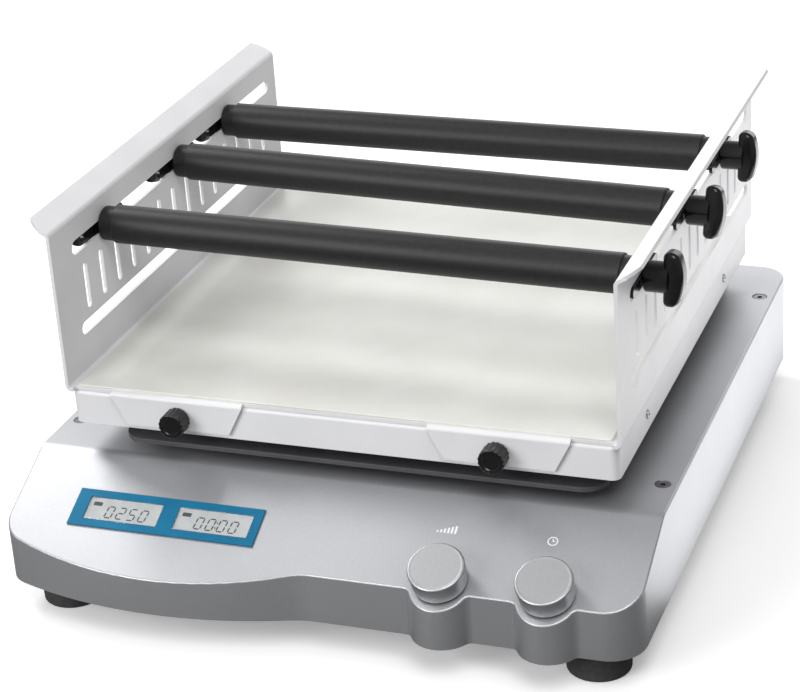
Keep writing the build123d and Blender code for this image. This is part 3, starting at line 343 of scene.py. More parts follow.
def mouldedRubber(name, base, shade, grain, depth, rough):
    # Moulded or foamed rubber: near black, matt, with a fine open grain that catches a soft light
    look = {"cloud": 6, "patch": 3, "spread": 0.06, "detail": 4}
    return coat(
        newMaterial(name, Specular_IOR_Level=0.35),
        tint=(grain * look["cloud"], shade, base),
        gloss=(grain * look["patch"], rough - look["spread"], rough + look["spread"]),
        relief=(grain, depth, look["detail"]),
    )


def mouldedNylon(name, base, shade, rough):
    # Injection-moulded nylon: deep and even, with a spark-eroded grain, glossier than rubber
    look = {"cloud": 9, "patch": 2, "grain": 0.5, "grainDepth": 0.003, "spread": 0.06}
    return coat(
        newMaterial(name, IOR=1.5),
        tint=(look["cloud"], shade, base),
        gloss=(look["patch"], rough - look["spread"], rough + look["spread"]),
        relief=(look["grain"], look["grainDepth"]),
    )


def workedMetal(name, base, shade, rough, stretch=(1, 1, 1), grain=0.4):
    # Machined, ground or plated metal: fine tool marks along one direction, with slight changes of gloss
    look = {"cloud": 4, "patch": 2, "spread": 0.07, "depth": 0.006}
    material, tree, shader, place = newMaterial(name, Metallic=1.0)
    along = addNode(tree, "ShaderNodeMapping", {"Vector": place, "Scale": stretch}).outputs["Vector"]
    return coat(
        (material, tree, shader, along),
        tint=(grain * look["cloud"], shade, base),
        gloss=(grain * look["patch"], rough - look["spread"], rough + look["spread"]),
        relief=(grain, look["depth"]),
    )


def printedFilm():
    # Printed polyester film on the panel: clean blue with a fine satin texture
    look = {"blue": "176F95", "deep": "14678B", "cloud": 18, "grain": 0.6, "grainDepth": 0.006,
            "smooth": 0.45, "dull": 0.55}
    return coat(
        newMaterial("printedFilm", IOR=1.4, Specular_IOR_Level=0.2),
        tint=(look["cloud"], look["deep"], look["blue"]),
        gloss=(look["grain"], look["smooth"], look["dull"]),
        relief=(look["grain"], look["grainDepth"]),
    )


def clearAcrylic():
    # Cast acrylic with an anti-glare face: clear, with weak reflections and a few dulled patches
    look = {"patch": 6, "smooth": 0.02, "dull": 0.08}
    surface = newMaterial("clearAcrylic", Transmission_Weight=1.0, IOR=1.49, Base_Color=(1, 1, 1, 1),
                          Specular_IOR_Level=0.25)
    return coat(surface, gloss=(look["patch"], look["smooth"], look["dull"]))


def displayGlass():
    # Reflective liquid-crystal cell: a pale warm grey, very slightly mottled behind its polariser
    look = {"grey": "C6C9C9", "shade": "BBBFC1", "cloud": 7, "patch": 5, "smooth": 0.45, "dull": 0.55}
    return coat(
        newMaterial("displayGlass", IOR=1.5, Specular_IOR_Level=0.2),
        tint=(look["cloud"], look["shade"], look["grey"]),
        gloss=(look["patch"], look["smooth"], look["dull"]),
    )


def siliconeMat():
    # Cast silicone sheet: milky off-white, glossy, letting a little light in
    look = {"milk": "DDDDD8", "shade": "D5D5CF", "cloud": 50, "ripple": 14, "rippleDepth": 0.03,
            "smooth": 0.26, "dull": 0.36}
    return coat(
        newMaterial("castSilicone", IOR=1.41, Subsurface_Weight=0.15, Subsurface_Scale=0.003),
        tint=(look["cloud"], look["shade"], look["milk"]),
        gloss=(look["ripple"], look["smooth"], look["dull"]),
        relief=(look["ripple"], look["rippleDepth"]),
    )


def printedInk(name, base, shade):
    # Screen-printed ink: thin, flat and matt, with a slightly uneven edge of tone
    look = {"cloud": 2, "patch": 1, "smooth": 0.5, "dull": 0.65}
    return coat(
        newMaterial(name),
        tint=(look["cloud"], shade, base),
        gloss=(look["patch"], look["smooth"], look["dull"]),
    )


def solderMask():
    # Glass-fibre board under green solder mask: a fine weave just shows through the gloss
    look = {"green": "14602F", "shade": "0E4A26", "cloud": 4, "patch": 1, "smooth": 0.25, "dull": 0.4,
            "weave": 0.6, "weaveDepth": 0.01}
    return coat(
        newMaterial("solderMask", IOR=1.5),
        tint=(look["cloud"], look["shade"], look["green"]),
        gloss=(look["patch"], look["smooth"], look["dull"]),
        relief=(look["weave"], look["weaveDepth"]),
    )


finish = {
    "silver_enamel": metallicEnamel(),
    "white_enamel": powderCoat("whitePowderCoat", "E1E1E3", "DCDCDE", 0.42),
    "dark_enamel": powderCoat("blackPowderCoat", "4A4A4D", "434346", 0.5),
    "zinc_steel": workedMetal("zincPlatedSteel", "B9BBBE", "A9ACB0", 0.38, (1, 1, 1), 3.0),
    "ground_steel": workedMetal("groundSteel", "C4C5C7", "B4B5B8", 0.2, (1, 6, 6)),
    # The cover screws' own dark oxide steel, made darker still as painted shade for the counterbores they are
    # sunk in
    "screw_steel": workedMetal("darkSteelWithPaintedShade", "77777A", "68686B", 0.32, (1, 1, 1), 1.0),
    "machined_aluminium": workedMetal("milledAluminium", "D0D1D3", "C2C3C6", 0.34, (1, 8, 1)),
    "turned_aluminium": workedMetal("blastedAluminium", "C2C3C5", "BCBDBF", 0.45, (1, 1, 1), 0.3),
    "foot_rubber": mouldedRubber("mouldedRubber", "4A4A4B", "424243", 0.5, 0.02, 0.62),
    "sleeve_rubber": mouldedRubber("foamedRubber", "222223", "1C1C1D", 0.45, 0.012, 0.46),
    "belt_rubber": mouldedRubber("beltRubber", "1C1C1C", "141414", 0.5, 0.03, 0.7),
    "mat_silicone": siliconeMat(),
    "black_nylon": mouldedNylon("blackNylon", "0F0F10", "0B0B0C", 0.2),
    "bezel_blue": printedFilm(),
    "window_clear": clearAcrylic(),
    "lcd_grey": displayGlass(),
    "circuit_green": solderMask(),
    "encoder_grey": mouldedNylon("greyNylon", "55565A", "4A4B4E", 0.45),
    "motor_black": powderCoat("blackLacquer", "1D1D20", "161618", 0.3),
    "inlet_black": mouldedNylon("inletNylon", "1A1A1B", "141415", 0.42),
}

# The solids that no piece below replaces wear the material of their slot
for entry in frame["record"]["subparts"]:
    node = frame["nodes"][entry["node"]]
    for index in range(len(node.data.materials)):
        node.data.materials[index] = finish[entry["material_slot"]]
whiteInk = printedInk("whiteInk", "F4F4F4", "E8E8E8")
darkInk = printedInk("darkSegments", "222624", "2E322F")
goldPlate = workedMetal("goldPlatedContact", "C9A24A", "B8903C", 0.25, (1, 1, 1), 0.6)
print("materials ready")


# Camera and light

# The camera as fitted to the photograph: angles in degrees, distance in metres, focal length in pixels of its
# width, and the point aimed at, to the right of the part's middle, behind it and above the floor, in mm
view = {"azimuth": 21.3196, "elevation": 24.9769, "roll": -3.9658, "distance": 1.4011,
        "focalPixels": 2351.36, "imageWidth": 800, "sensor": 36, "aim": (-6.83, -5.0, 100.0)}


def placeCamera():
    a, e, roll = radians(view["azimuth"]), radians(view["elevation"]), radians(view["roll"])
    back = Vector((sin(a) * cos(e), -cos(a) * cos(e), sin(e)))
    right = Vector((cos(a), sin(a), 0))
    up = back.cross(right)
    side = right * cos(roll) + up * sin(roll)
    top = up * cos(roll) - right * sin(roll)
    offset, depth, height = (mm(value) for value in view["aim"])
    target = Vector((0, depth, height)) + right * offset
    data = bpy.data.cameras.new("photoCamera")
    data.sensor_width = view["sensor"]
    data.lens = view["focalPixels"] / view["imageWidth"] * view["sensor"]
    camera = bpy.data.objects.new("photoCamera", data)
    bpy.context.scene.collection.objects.link(camera)
    turn = Matrix((side, top, back)).transposed().to_4x4()
    camera.matrix_world = Matrix.Translation(target + back * view["distance"]) @ turn
    bpy.context.scene.camera = camera


# In metres and watts. The key stands upper left, the backdrop lights the far side, and the card is a white
# sheet lying on the right. The room lights the part less than it is seen itself.
room = {"lights": 0.32, "seen": 1.0}
lamps = {
    "key": {"place": (-0.92, 0.32, 1.15), "aim": (0, 0, 0.1), "size": (0.5, 0.5), "power": 8.5},
    "top": {"place": (0.5, -0.9, 1.5), "aim": (0, 0, 0.1), "size": (1.0, 1.0), "power": 14},
    "front": {"place": (-1.0, -1.7, 0.9), "aim": (0, 0, 0.1), "size": (1.1, 1.1), "power": 24},
    "backdrop": {"place": (-0.3, 1.8, 0.75), "aim": (-0.3, 0, 0.75), "size": (2.4, 1.5), "power": 19},
    "card": {"place": (0.39, 0.45, 0.004), "aim": (0.39, 0.45, 1), "size": (0.38, 1.1), "power": 2.5},
}


def lightRoom():
    for name, values in lamps.items():
        data = bpy.data.lights.new(name + "Lamp", "AREA")
        data.shape = "RECTANGLE"
        data.size, data.size_y = values["size"]
        data.energy = values["power"]
        lamp = bpy.data.objects.new(name + "Lamp", data)
        bpy.context.scene.collection.objects.link(lamp)
        lamp.location = values["place"]
        lamp.rotation_euler = (Vector(values["aim"]) - lamp.location).to_track_quat("-Z", "Y").to_euler()
        lamp.visible_camera = False
    world = bpy.data.worlds.new("paleRoom")
    bpy.context.scene.world = world
    world.use_nodes = True
    tree = world.node_tree
    tree.nodes.clear()
    rays = addNode(tree, "ShaderNodeLightPath").outputs
    inputs = {0: rays["Is Camera Ray"], 1: rays["Is Transmission Ray"]}
    seen = addNode(tree, "ShaderNodeMath", inputs, operation="MAXIMUM")
    inputs = {"Value": seen.outputs["Value"], "To Min": room["lights"], "To Max": room["seen"]}
    strength = addNode(tree, "ShaderNodeMapRange", inputs).outputs["Result"]
    light = addNode(tree, "ShaderNodeBackground", {"Color": (1, 1, 1, 1), "Strength": strength})
    addNode(tree, "ShaderNodeOutputWorld", {"Surface": light.outputs["Background"]})


def layFloor():
    # White paper with a faint glow of its own, which gives back less light than it shows
    look = {"radius": 1.5, "sides": 96, "seen": "F4F4F4", "bounced": "707070", "glow": 0.25}
    selectNothing()
    bpy.ops.mesh.primitive_circle_add(vertices=look["sides"], radius=look["radius"], fill_type="NGON",
                                      location=(0, 0, 0))
    floor = bpy.context.object
    floor.name = "paleFloor"
    material, tree, shader, _ = newMaterial("whitePaper", Roughness=0.9, Base_Color=colour(look["seen"]))
    rays = addNode(tree, "ShaderNodeLightPath").outputs
    bounced = addNode(tree, "ShaderNodeBsdfDiffuse", {"Color": colour(look["bounced"])}).outputs
    glow = addNode(tree, "ShaderNodeEmission", {"Color": (1, 1, 1, 1), "Strength": look["glow"]}).outputs
    both = addNode(tree, "ShaderNodeAddShader", {0: shader.outputs["BSDF"], 1: glow["Emission"]}).outputs
    inputs = {0: rays["Is Camera Ray"], 1: bounced["BSDF"], 2: both["Shader"]}
    choose = addNode(tree, "ShaderNodeMixShader", inputs)
    tree.links.new(choose.outputs["Shader"], tree.nodes["Material Output"].inputs["Surface"])
    floor.data.materials.append(material)


placeCamera()
lightRoom()
layFloor()
bpy.context.scene.view_settings.view_transform = "Standard"
print("camera and light ready")


# Pieces that keep the shape of their CAD node: merged copies, whose edges are eased by so many mm
easedNodes = {
    "housing": {"body": "base", "slot": "silver_enamel", "ease": 0.0},
    "platform": {"body": "table", "slot": "white_enamel", "ease": 0.3},
    "cradle": {"body": "table", "slot": "white_enamel", "ease": 0.25},
    "table_plate": {"body": "table", "slot": "dark_enamel", "ease": 0.4},
    "table_posts": {"body": "table", "slot": "machined_aluminium", "ease": 0.3},
    "platform_standoffs": {"body": "table", "slot": "zinc_steel", "ease": 0.3},
    "mat": {"body": "table", "slot": "mat_silicone", "ease": 0.0},
    "display_bezel": {"body": "base", "slot": "bezel_blue", "ease": 0.25},
    "mains_inlet": {"body": "base", "slot": "inlet_black", "ease": 0.3},
    "switch_frame": {"body": "base", "slot": "inlet_black", "ease": 0.3},
    "power_rocker": {"body": "power_rocker", "slot": "inlet_black", "ease": 0.35},
    "front_bar_core": {"body": "front_bar", "slot": "machined_aluminium", "ease": 0.4},
    "middle_bar_core": {"body": "middle_bar", "slot": "machined_aluminium", "ease": 0.4},
    "rear_bar_core": {"body": "rear_bar", "slot": "machined_aluminium", "ease": 0.4},
    "front_bar_runners": {"body": "front_bar", "slot": "black_nylon", "ease": 0.3},
    "middle_bar_runners": {"body": "middle_bar", "slot": "black_nylon", "ease": 0.3},
    "rear_bar_runners": {"body": "rear_bar", "slot": "black_nylon", "ease": 0.3},
}


def easeNodes():
    for node, values in easedNodes.items():
        piece = copyNode(node, node.title().replace("_", "") + "Skin")
        if values["ease"]:
            easeEdges(piece, values["ease"], segments=2, angle=50)
        smoothByAngle(piece, 40)
        dress(piece, finish[values["slot"]], values["body"], values["slot"], node)
    print("sheet metal eased")


# Turned knobs, hollow from below, with a bright rounded rim round a very shallow dish
knobShape = {"foot": 15.1, "face": 15.7, "wall": 2.6, "ceiling": 11.15, "lift": 1.5, "chamfer": 0.4,
             "top": 13.7, "edge": 1.2, "dish": 0.15, "dishEdge": 0.5, "sides": 128}


def makeKnobs():
    v = knobShape
    bore = v["foot"] - v["wall"]
    lip = v["face"] - v["edge"]
    steps = [(bore, v["ceiling"]), (bore, v["lift"]), (v["foot"] - v["chamfer"], v["lift"])]
    steps += [(v["foot"], v["lift"] + v["chamfer"])]
    steps += roundedEdge(v["face"], v["top"], v["edge"])
    steps += [(lip - v["dishEdge"], v["top"]), (lip - 2 * v["dishEdge"], v["top"] - v["dish"])]
    for name in ("speed", "time"):
        joint = joints[f"{name}_turn"]
        piece = turned(f"{name}Knob", steps, v["sides"])
        settle(piece, frameAt(joint["pos_m"], joint["axis"], (0, 1, 0)))
        smoothByAngle(piece, 30)
        dress(piece, finish["turned_aluminium"], f"{name}_knob", "turned_aluminium", f"{name}_knob")
    print("knobs made")


# Holding bars: foam-rubber sleeves stepped down at their ends
barNames = ("front", "middle", "rear")
sleeveShape = {"radius": 11.2, "cap": 10.0, "bore": 8.0, "capLength": 8.0, "reach": 160.7, "edge": 0.8}


def barFrame(name):
    # The middle of a bar, with Z along it to the right
    joint = joints[f"{name}_right_handle_turn"]
    along = Vector(joint["axis"])
    return frameAt(Vector(joint["pos_m"]) - along * (joint["pos_m"][0] / along.x), along)


def makeSleeves():
    v = sleeveShape
    for name in barNames:
        place = barFrame(name)
        along = place.col[2]
        end = (v["reach"] - v["radius"] * abs(along.y)) / along.x
        shoulder = end - v["capLength"]
        top = [(v["bore"], end), (v["cap"] - v["edge"], end)]
        top += roundedEdge(v["cap"], end, v["edge"], parts=4)[::-1]
        top += [(v["cap"], shoulder), (v["radius"] - v["edge"], shoulder)]
        top += roundedEdge(v["radius"], shoulder, v["edge"], parts=4)[::-1]
        bottom = [(radius, -height) for radius, height in reversed(top)]
        piece = turned(f"{name}Sleeve", top + bottom + [top[0]], hollow=True)
        settle(piece, place)
        smoothByAngle(piece, 30)
        dress(piece, finish["sleeve_rubber"], f"{name}_bar", "sleeve_rubber", f"{name}_bar_sleeve")
    print("sleeves made")


# Wing handles: a bowed grip with rounded edges on a round hub. The grip is "middle" thick at its middle and
# "end" thick at its ends, and the turns in degrees are those that the photo shows.
handleShape = {"length": 30.2, "width": 12.0, "end": 7.5, "middle": 11.1, "round": 3.2, "cuts": 16,
               "inset": 0.999, "slack": 0.01, "hub": 8.5, "hubLength": 10.0, "chamfer": 0.5,
               "hubSides": 72, "seat": 164.3, "turns": {"front": -6, "middle": -16, "rear": -8}}


def lowerRow(piece, y, above, drop):
    # Lowers the part of a cross-section that lies above a height
    selectOnly(piece)
    bpy.ops.object.mode_set(mode="EDIT")
    bpy.ops.mesh.select_all(action="DESELECT")
    bpy.ops.object.mode_set(mode="OBJECT")
    for vertex in piece.data.vertices:
        vertex.select = abs(vertex.co.y - y) < mm(0.001) and vertex.co.z > above
    bpy.ops.object.mode_set(mode="EDIT")
    bpy.ops.transform.translate(value=(0, 0, -drop))
    bpy.ops.object.mode_set(mode="OBJECT")


def makeWing():
    # A rounded block cut into rows, each of which is lowered onto the bow's arc
    v = handleShape
    bow = v["middle"] - v["end"]
    radius = mm((bow ** 2 + (v["length"] / 2) ** 2) / (2 * bow))
    wing = slab("wing", v["width"], v["length"], v["middle"])
    easeEdges(wing, v["round"], segments=6, angle=30)
    selectOnly(wing)
    bpy.ops.object.mode_set(mode="EDIT")
    span = v["length"] - 2 * v["round"]
    for index in range(v["cuts"] + 1):
        bpy.ops.mesh.select_all(action="SELECT")
        y = mm(span * (index / v["cuts"] - 0.5) * v["inset"])
        bpy.ops.mesh.bisect(plane_co=(0, y, 0), plane_no=(0, 1, 0))
    bpy.ops.object.mode_set(mode="OBJECT")
    shoulder = mm(v["middle"] - v["round"] - v["slack"])
    for y in sorted({round(vertex.co.y, 6) for vertex in wing.data.vertices}):
        lowerRow(wing, y, shoulder, radius - sqrt(radius ** 2 - y ** 2))
    settle(wing, Matrix.Translation((0, 0, mm(v["hubLength"]))))
    hub = [(v["hub"] - v["chamfer"], 0), (v["hub"], v["chamfer"]), (v["hub"], v["hubLength"] + v["round"])]
    return joinPieces([wing, turned("hub", hub, v["hubSides"])], "wing")


def makeHandles():
    v = handleShape
    wing = makeWing()
    for name in barNames:
        for side in ("left", "right"):
            handle = f"{name}_{side}_handle"
            joint = joints[f"{handle}_turn"]
            along = Vector(joint["axis"])
            sign = 1 if along.x > 0 else -1
            seat = (v["seat"] + v["hub"] * abs(along.y)) / abs(along.x)
            reach = seat - inMm(joint["pos_m"][0] / along.x)
            turn = Matrix.Rotation(radians(v["turns"][name]) * sign, 4, "Z")
            place = shifted(frameAt(joint["pos_m"], along), z=reach) @ turn
            piece = settle(duplicate(wing, f"{name}{side.title()}Wing"), place)
            smoothByAngle(piece, 35)
            dress(piece, finish["black_nylon"], handle, "black_nylon", handle)
    bpy.data.objects.remove(wing, do_unlink=True)
    print("handles made")


# Thumb screws with a scalloped grip and a dished face
thumbShape = {"radius": 7.5, "length": 10.5, "chamfer": 0.6, "edge": 0.9, "sides": 160, "flutes": 16,
              "flute": 1.0, "overrun": 1, "dish": 5.2, "dishDepth": 0.6, "stud": 2.5, "studLength": 14.0,
              "seat": -6.4}


def makeThumbScrews():
    v = thumbShape
    head = [(v["stud"], -v["studLength"]), (v["stud"], 0), (v["radius"] - v["chamfer"], 0)]
    head += [(v["radius"], v["chamfer"])] + roundedEdge(v["radius"], v["length"], v["edge"], parts=4)
    head += [(v["dish"], v["length"]), (v["dish"] - v["dishDepth"], v["length"] - v["dishDepth"])]
    for side in ("left", "right"):
        joint = joints[f"{side}_thumb_screw_turn"]
        piece = turned(f"{side}Thumb", head, v["sides"])
        rod = [(v["flute"], -v["overrun"]), (v["flute"], v["length"] + v["overrun"])]
        reach = mm(v["radius"] + v["flute"] / 3)
        angles = [2 * pi * i / v["flutes"] for i in range(v["flutes"])]
        places = [Matrix.Translation((reach * cos(a), reach * sin(a), 0)) for a in angles]
        cut(piece, copiesAt(turned("flutes", rod, sides=24), places, "flutes"))
        settle(piece, shifted(frameAt(joint["pos_m"], joint["axis"]), z=v["seat"]))
        smoothByAngle(piece, 40)
        dress(piece, finish["black_nylon"], f"{side}_thumb_screw", "black_nylon", f"{side}_thumb_screw")
    print("thumb screws made")


# Rubber feet: a slightly tapered ring with a bead above a shallow groove
footShape = {"top": 18.2, "taper": 0.5, "height": 20.0, "edge": 1.2, "chamfer": 0.4, "bore": 5.2,
             "web": 5.0, "hole": 2.05, "groove": 13.5, "grooveWidth": 1.6, "grooveDepth": 0.5,
             "slope": 0.4, "lean": 0.15, "x": 156.5, "front": -164.5, "rear": 166.0}


def makeFeet():
    v = footShape
    low = v["top"] - v["taper"]
    neck = v["top"] - v["grooveDepth"]
    under = v["height"] - v["web"]
    # A rounded top edge, turned over to make the lower one
    upper = roundedEdge(low, v["edge"] * 2, v["edge"])
    lower = [(radius, v["edge"] * 2 - height) for radius, height in upper]
    steps = [(v["hole"], v["height"]), (v["hole"], under), (v["bore"], under)]
    steps += [(v["bore"], v["chamfer"]), (v["bore"] + v["chamfer"], 0)] + lower[::-1]
    steps += [(v["top"] - v["lean"], v["groove"]), (neck, v["groove"] + v["slope"])]
    steps += [(neck, v["groove"] + v["grooveWidth"] - v["slope"]), (v["top"], v["groove"] + v["grooveWidth"])]
    steps += [(v["top"], v["height"] - v["chamfer"]), (v["top"] - v["chamfer"], v["height"])]
    foot = turned("foot", steps + [steps[0]], hollow=True)
    piece = copiesAt(foot, fourPlaces(v), "rubberFeet")
    smoothByAngle(piece, 35)
    dress(piece, finish["foot_rubber"], "base", "foot_rubber", "feet")
    print("feet made")


# Cover screws: low heads with a hexagon socket, sunk in the level top
screwShape = {"head": 4.4, "headHeight": 1.5, "edge": 0.35, "chamfer": 0.2, "sides": 64, "shank": 2.0,
              "length": 10.0, "key": 1.7, "socket": 1.2, "overrun": 1, "seat": 75.2, "x": 176.0,
              "front": -98.0, "rear": 156.0}


def makeCoverScrews():
    v = screwShape
    steps = [(v["shank"], -v["length"]), (v["shank"], 0), (v["head"] - v["chamfer"], 0)]
    steps += [(v["head"], v["chamfer"])] + roundedEdge(v["head"], v["headHeight"], v["edge"], parts=3)
    head = turned("screw", steps, v["sides"])
    socket = [(v["key"], v["headHeight"] - v["socket"]), (v["key"], v["headHeight"] + v["overrun"])]
    cut(head, turned("socket", socket, sides=6))
    piece = copiesAt(head, fourPlaces(v, v["seat"]), "coverScrewHeads")
    smoothByAngle(piece, 30)
    # Their dark steel also carries painted shade for the counterbores round their heads
    dress(piece, finish["screw_steel"], "base", "screw_steel", "cover_screws")
    print("cover screws made")


# Small pan-head screws in the platform's side skirts
skirtScrewShape = {"radius": 2.6, "height": 1.2, "edge": 0.8, "sides": 40, "shank": 1.4, "sunk": 1.0,
                   "key": 1.0, "socket": 0.7, "overrun": 1, "x": 161.0, "z": 104.5, "front": -71,
                   "rear": 119}


def makeSkirtScrews():
    v = skirtScrewShape
    steps = [(v["shank"], -v["sunk"]), (v["shank"], 0), (v["radius"], 0)]
    steps += roundedEdge(v["radius"], v["height"], v["edge"], parts=4)
    head = turned("skirtScrew", steps, v["sides"])
    socket = [(v["key"], v["height"] - v["socket"]), (v["key"], v["height"] + v["overrun"])]
    cut(head, turned("socket", socket, sides=6))
    places = [
        frameAt((mm(side * v["x"]), mm(y), mm(v["z"])), (side, 0, 0))
        for side in (-1, 1)
        for y in (v["front"], v["rear"])
    ]
    piece = copiesAt(head, places, "skirtScrews")
    smoothByAngle(piece, 30)
    dress(piece, finish["zinc_steel"], "table", "screw_steel")
    print("skirt screws made")


# The sloping panel: display panes, segment digits and the printed marks above the knobs
panelShape = {"angle": 25, "middleY": -160.5, "middleZ": 63.0111, "displaySlope": -7.5,
              "windows": (-117.0, -62.0), "windowWidth": 44.7, "windowHeight": 14.9, "corner": 0.3,
              "ease": 0.12, "paneLow": -0.1, "paneHigh": 0.7, "glassTop": -0.5}
# In mm, apart from the shares, which are of a stroke's width, and the colon's rise, in quarters of the height
digitShape = {"height": 7.6, "width": 4.0, "stroke": 0.85, "gap": 0.25, "pitch": 6.9, "slant": 8,
              "ink": 0.04, "firstX": -8.2, "y": -1.2, "tipShare": 0.45, "shortShare": 0.4,
              "dotShare": 0.55, "colonRise": 0.9}
displayed = ({"text": "0250", "colonAfter": None}, {"text": "0000", "colonAfter": 1})
digitStrokes = {"0": "abcdef", "2": "abged", "5": "afgcd"}
# Each stroke's place in quarters of the height and halves of the width, and whether it stands upright
strokePlaces = {"a": (0, 2, False), "g": (0, 0, False), "d": (0, -2, False), "f": (-1, 1, True),
                "b": (1, 1, True), "e": (-1, -1, True), "c": (1, -1, True)}
tagShape = {"width": 5.4, "height": 2.6, "corner": 0.6, "x": -17.2, "y": 3.6}
markShape = {"aside": -5.5, "above": 31.0, "ink": 0.04, "bars": 6, "bar": 1.0, "pitch": 2.0, "low": 1.2,
             "step": 0.8, "ring": 2.9, "ringSides": 48, "line": 0.6, "minuteShare": 0.7,
             "hourShare": 0.55}


def panelFrame(x, slope, lift=0.0):
    # A place on the panel: so far right of its middle, so far up its slope, so far above it
    v = panelShape
    a = radians(v["angle"])
    middle = frameAt((0, mm(v["middleY"]), mm(v["middleZ"])), (0, -sin(a), cos(a)), (0, 1, 0))
    return shifted(middle, x, slope, lift)


def onGlass(x, slope):
    return panelFrame(x, panelShape["displaySlope"] + slope, panelShape["glassTop"])


def makePanes():
    v = panelShape
    height = v["paneHigh"] - v["paneLow"]
    pane = slab("pane", v["windowWidth"], v["windowHeight"], height, v["corner"], parts=2)
    places = [panelFrame(x, v["displaySlope"], v["paneLow"]) for x in v["windows"]]
    piece = copiesAt(pane, places, "displayPanes")
    easeEdges(piece, v["ease"], segments=2)
    smoothByAngle(piece, 30)
    dress(piece, finish["window_clear"], "base", "window_clear", "display_windows")


def digitPlaces(windowX, text, colonAfter):
    # Places of the strokes of one display, and of the dots of its colon
    v = digitShape
    quarter = v["height"] / 4
    slant = radians(v["slant"])
    flat, upright, dots = [], [], []
    for index, digit in enumerate(text):
        x = windowX + v["firstX"] + index * v["pitch"]
        for stroke in digitStrokes[digit]:
            across, rise, standing = strokePlaces[stroke]
            lean = rise * quarter * tan(slant)
            place = onGlass(x + across * v["width"] / 2 + lean, v["y"] + rise * quarter)
            if standing:
                upright.append(place @ Matrix.Rotation(pi / 2 - slant, 4, "Z"))
            else:
                flat.append(place)
        if index == colonAfter:
            for rise in (-v["colonRise"], v["colonRise"]):
                lean = rise * quarter * tan(slant)
                dots.append(onGlass(x + v["pitch"] / 2 + lean, v["y"] + rise * quarter))
    return flat, upright, dots


def makeDigits():
    v = digitShape
    flat, upright, dots = [], [], []
    for windowX, shown in zip(panelShape["windows"], displayed):
        for known, found in zip((flat, upright, dots), digitPlaces(windowX, **shown)):
            known.extend(found)
    short = v["gap"] + v["stroke"] * v["shortShare"]
    tip = v["stroke"] * v["tipShare"]
    bar = slab("flatStroke", v["width"] - short, v["stroke"], v["ink"], tip, parts=1)
    post = slab("uprightStroke", v["height"] / 2 - short, v["stroke"], v["ink"], tip, parts=1)
    dotRadius = v["stroke"] * v["dotShare"]
    dot = turned("dot", [(dotRadius, 0), (dotRadius, v["ink"])], sides=16)
    tag = slab("tag", tagShape["width"], tagShape["height"], v["ink"], tagShape["corner"], parts=3)
    tags = [onGlass(x + tagShape["x"], tagShape["y"]) for x in panelShape["windows"]]
    parts = [copiesAt(bar, flat, "flatStrokes"), copiesAt(post, upright, "uprightStrokes")]
    parts += [copiesAt(dot, dots, "dots"), copiesAt(tag, tags, "tags")]
    dress(joinPieces(parts, "displayDigits"), darkInk, "base", "lcd_grey")


def makeKnobMarks():
    # A rising row of bars for speed and a clock face for time
    v = markShape
    speedMark, timeMark = (
        shifted(frameAt(joints[name]["pos_m"], joints[name]["axis"], (0, 1, 0)), v["aside"], v["above"])
        for name in ("speed_turn", "time_turn")
    )
    parts = []
    for index in range(v["bars"]):
        height = v["low"] + v["step"] * index
        across = (index - (v["bars"] - 1) / 2) * v["pitch"]
        parts.append(settle(slab("bar", v["bar"], height, v["ink"]), shifted(speedMark, across, height / 2)))
    inner = v["ring"] - v["line"]
    minute, hour = inner * v["minuteShare"], inner * v["hourShare"]
    clock = shifted(timeMark, 0, v["ring"])
    parts.append(settle(ringOf("clockRing", v["ring"], inner, v["ink"], v["ringSides"]), clock))
    parts.append(settle(slab("minuteHand", v["line"], minute, v["ink"]), shifted(clock, 0, minute / 2)))
    parts.append(settle(slab("hourHand", hour, v["line"], v["ink"]), shifted(clock, hour / 2, 0)))
    dress(joinPieces(parts, "knobMarks"), whiteInk, "base", "silver_enamel")
    print("panel details made")


# The serial port: a flange with a D-shaped shell, an insert with nine pins, and two threaded hexagon posts
portShape = {"x": -100.0, "y": 204.0, "z": 48.0, "flange": (31, 12.5), "flangeHeight": 1.0,
             "flangeCorner": 1.5, "flangeEase": 0.2, "shell": (18, 8), "shellHeight": 1.5,
             "narrowed": 0.86, "corner": 1.6, "wall": 0.5, "floor": 0.3, "insert": 0.9, "insertGap": 0.2}
pinShape = {"radius": 0.5, "low": 0.8, "high": 1.3, "tip": 1.42, "point": 0.15, "pitch": 2.76,
            "rowGap": 2.84, "rows": ((1, 5), (-1, 4))}
postShape = {"radius": 2.6, "chamfer": 0.3, "chamferHeight": 0.2, "bore": 1.2, "boreFloor": 1.1,
             "reach": 12.5}


def dShape(name, width, depth, height):
    # A slab narrowed at its bottom edge, with rounded corners
    selectNothing()
    bpy.ops.mesh.primitive_plane_add(size=1, location=(0, 0, 0))
    piece = bpy.context.object
    piece.name = piece.data.name = name
    for vertex in piece.data.vertices:
        vertex.select = vertex.co.y < 0
    for edge in piece.data.edges:
        edge.select = all(piece.data.vertices[i].select for i in edge.vertices)
    for face in piece.data.polygons:
        face.select = False
    bpy.ops.object.mode_set(mode="EDIT")
    bpy.ops.transform.resize(value=(portShape["narrowed"], 1, 1))
    bpy.ops.mesh.select_all(action="SELECT")
    bpy.ops.transform.resize(value=(mm(width), mm(depth), 1), center_override=(0, 0, 0))
    bpy.ops.mesh.bevel(offset=mm(portShape["corner"]), offset_type="OFFSET", segments=5, affect="VERTICES")
    extrudeUp(height)
    return piece


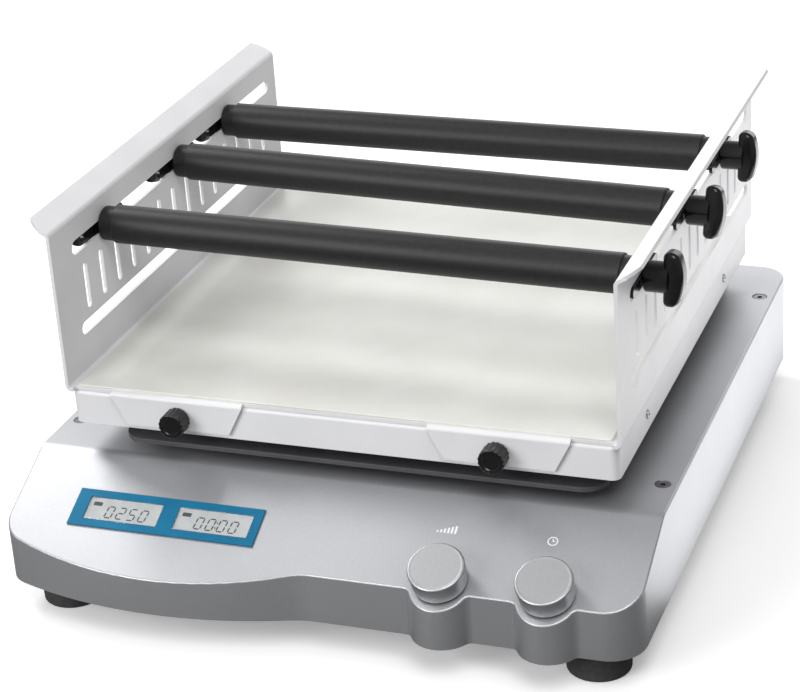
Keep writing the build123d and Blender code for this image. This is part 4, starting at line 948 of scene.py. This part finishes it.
def makeSerialPort():
    v = portShape
    wall = frameAt((mm(v["x"]), mm(v["y"]), mm(v["z"])), (0, 1, 0))
    width, depth = (side - 2 * v["wall"] for side in v["shell"])
    shell = dShape("shell", *v["shell"], v["shellHeight"])
    inside = dShape("inside", width, depth, v["shellHeight"])
    cut(shell, settle(inside, Matrix.Translation((0, 0, mm(v["floor"])))))
    flange = slab("flange", *v["flange"], v["flangeHeight"], v["flangeCorner"], parts=4)
    easeEdges(flange, v["flangeEase"], segments=2)
    metal = settle(joinPieces([shell, flange, makePosts()], "portShell"), wall)
    smoothByAngle(metal, 30)
    dress(metal, finish["zinc_steel"], "base", "zinc_steel", "serial_port")
    insert = dShape("portInsert", width - v["insertGap"], depth - v["insertGap"], v["insert"])
    dress(settle(insert, shifted(wall, z=v["floor"])), finish["inlet_black"], "base", "inlet_black")
    makePins(wall)


def makePosts():
    v = postShape
    top = portShape["shellHeight"]
    steps = [(v["radius"], portShape["flangeHeight"]), (v["radius"], top - v["chamferHeight"])]
    steps += [(v["radius"] - v["chamfer"], top), (v["bore"], top), (v["bore"], v["boreFloor"])]
    places = [Matrix.Translation((mm(side * v["reach"]), 0, 0)) for side in (-1, 1)]
    return copiesAt(turned("post", steps, sides=6), places, "posts")


def makePins(wall):
    v = pinShape
    steps = [(v["radius"], v["low"]), (v["radius"], v["high"]), (v["radius"] - v["point"], v["tip"])]
    places = [
        shifted(wall, (index - (count - 1) / 2) * v["pitch"], row * v["rowGap"] / 2)
        for row, count in v["rows"]
        for index in range(count)
    ]
    dress(copiesAt(turned("pin", steps, sides=16), places, "portPins"), goldPlate, "base", "zinc_steel")


# The marks on the rocker: the line and the ring that show on and off. Its two faces slope by "angle" to a
# hollow in the middle, and it rests tilted by as much.
rockerShape = {"x": 68.0, "y": 204.0, "z": 48.0, "pivot": 4.0, "angle": 8, "half": 8.0, "end": 7.4,
               "mark": 3.7, "ink": 0.05, "line": (0.6, 3.4), "lineCorner": 0.25, "ring": 1.6,
               "ringInner": 1.1, "ringSides": 40}


def makeRockerMarks():
    v = rockerShape
    pivot = Matrix.Translation((mm(v["x"]), mm(v["y"] - v["pivot"]), mm(v["z"])))
    tilt = pivot @ Matrix.Rotation(radians(-v["angle"]), 4, "X") @ pivot.inverted()
    vee = v["half"] * tan(radians(v["angle"]))
    sink = vee * (1 - v["mark"] / v["end"])
    places = []
    for side in (1, -1):
        origin = (mm(v["x"]), mm(v["y"] - sink), mm(v["z"] + side * v["mark"]))
        places.append(tilt @ frameAt(origin, (0, v["end"], -side * vee)))
    line = settle(slab("onMark", *v["line"], v["ink"], v["lineCorner"], parts=3), places[0])
    ring = settle(ringOf("offMark", v["ring"], v["ringInner"], v["ink"], v["ringSides"]), places[1])
    dress(joinPieces([line, ring], "rockerMarks"), whiteInk, "power_rocker", "inlet_black")
    print("rear details made")


easeNodes()
makeKnobs()
makeSleeves()
makeHandles()
makeThumbScrews()
makeFeet()
makeCoverScrews()
makeSkirtScrews()
makePanes()
makeDigits()
makeKnobMarks()
makeSerialPort()
makeRockerMarks()
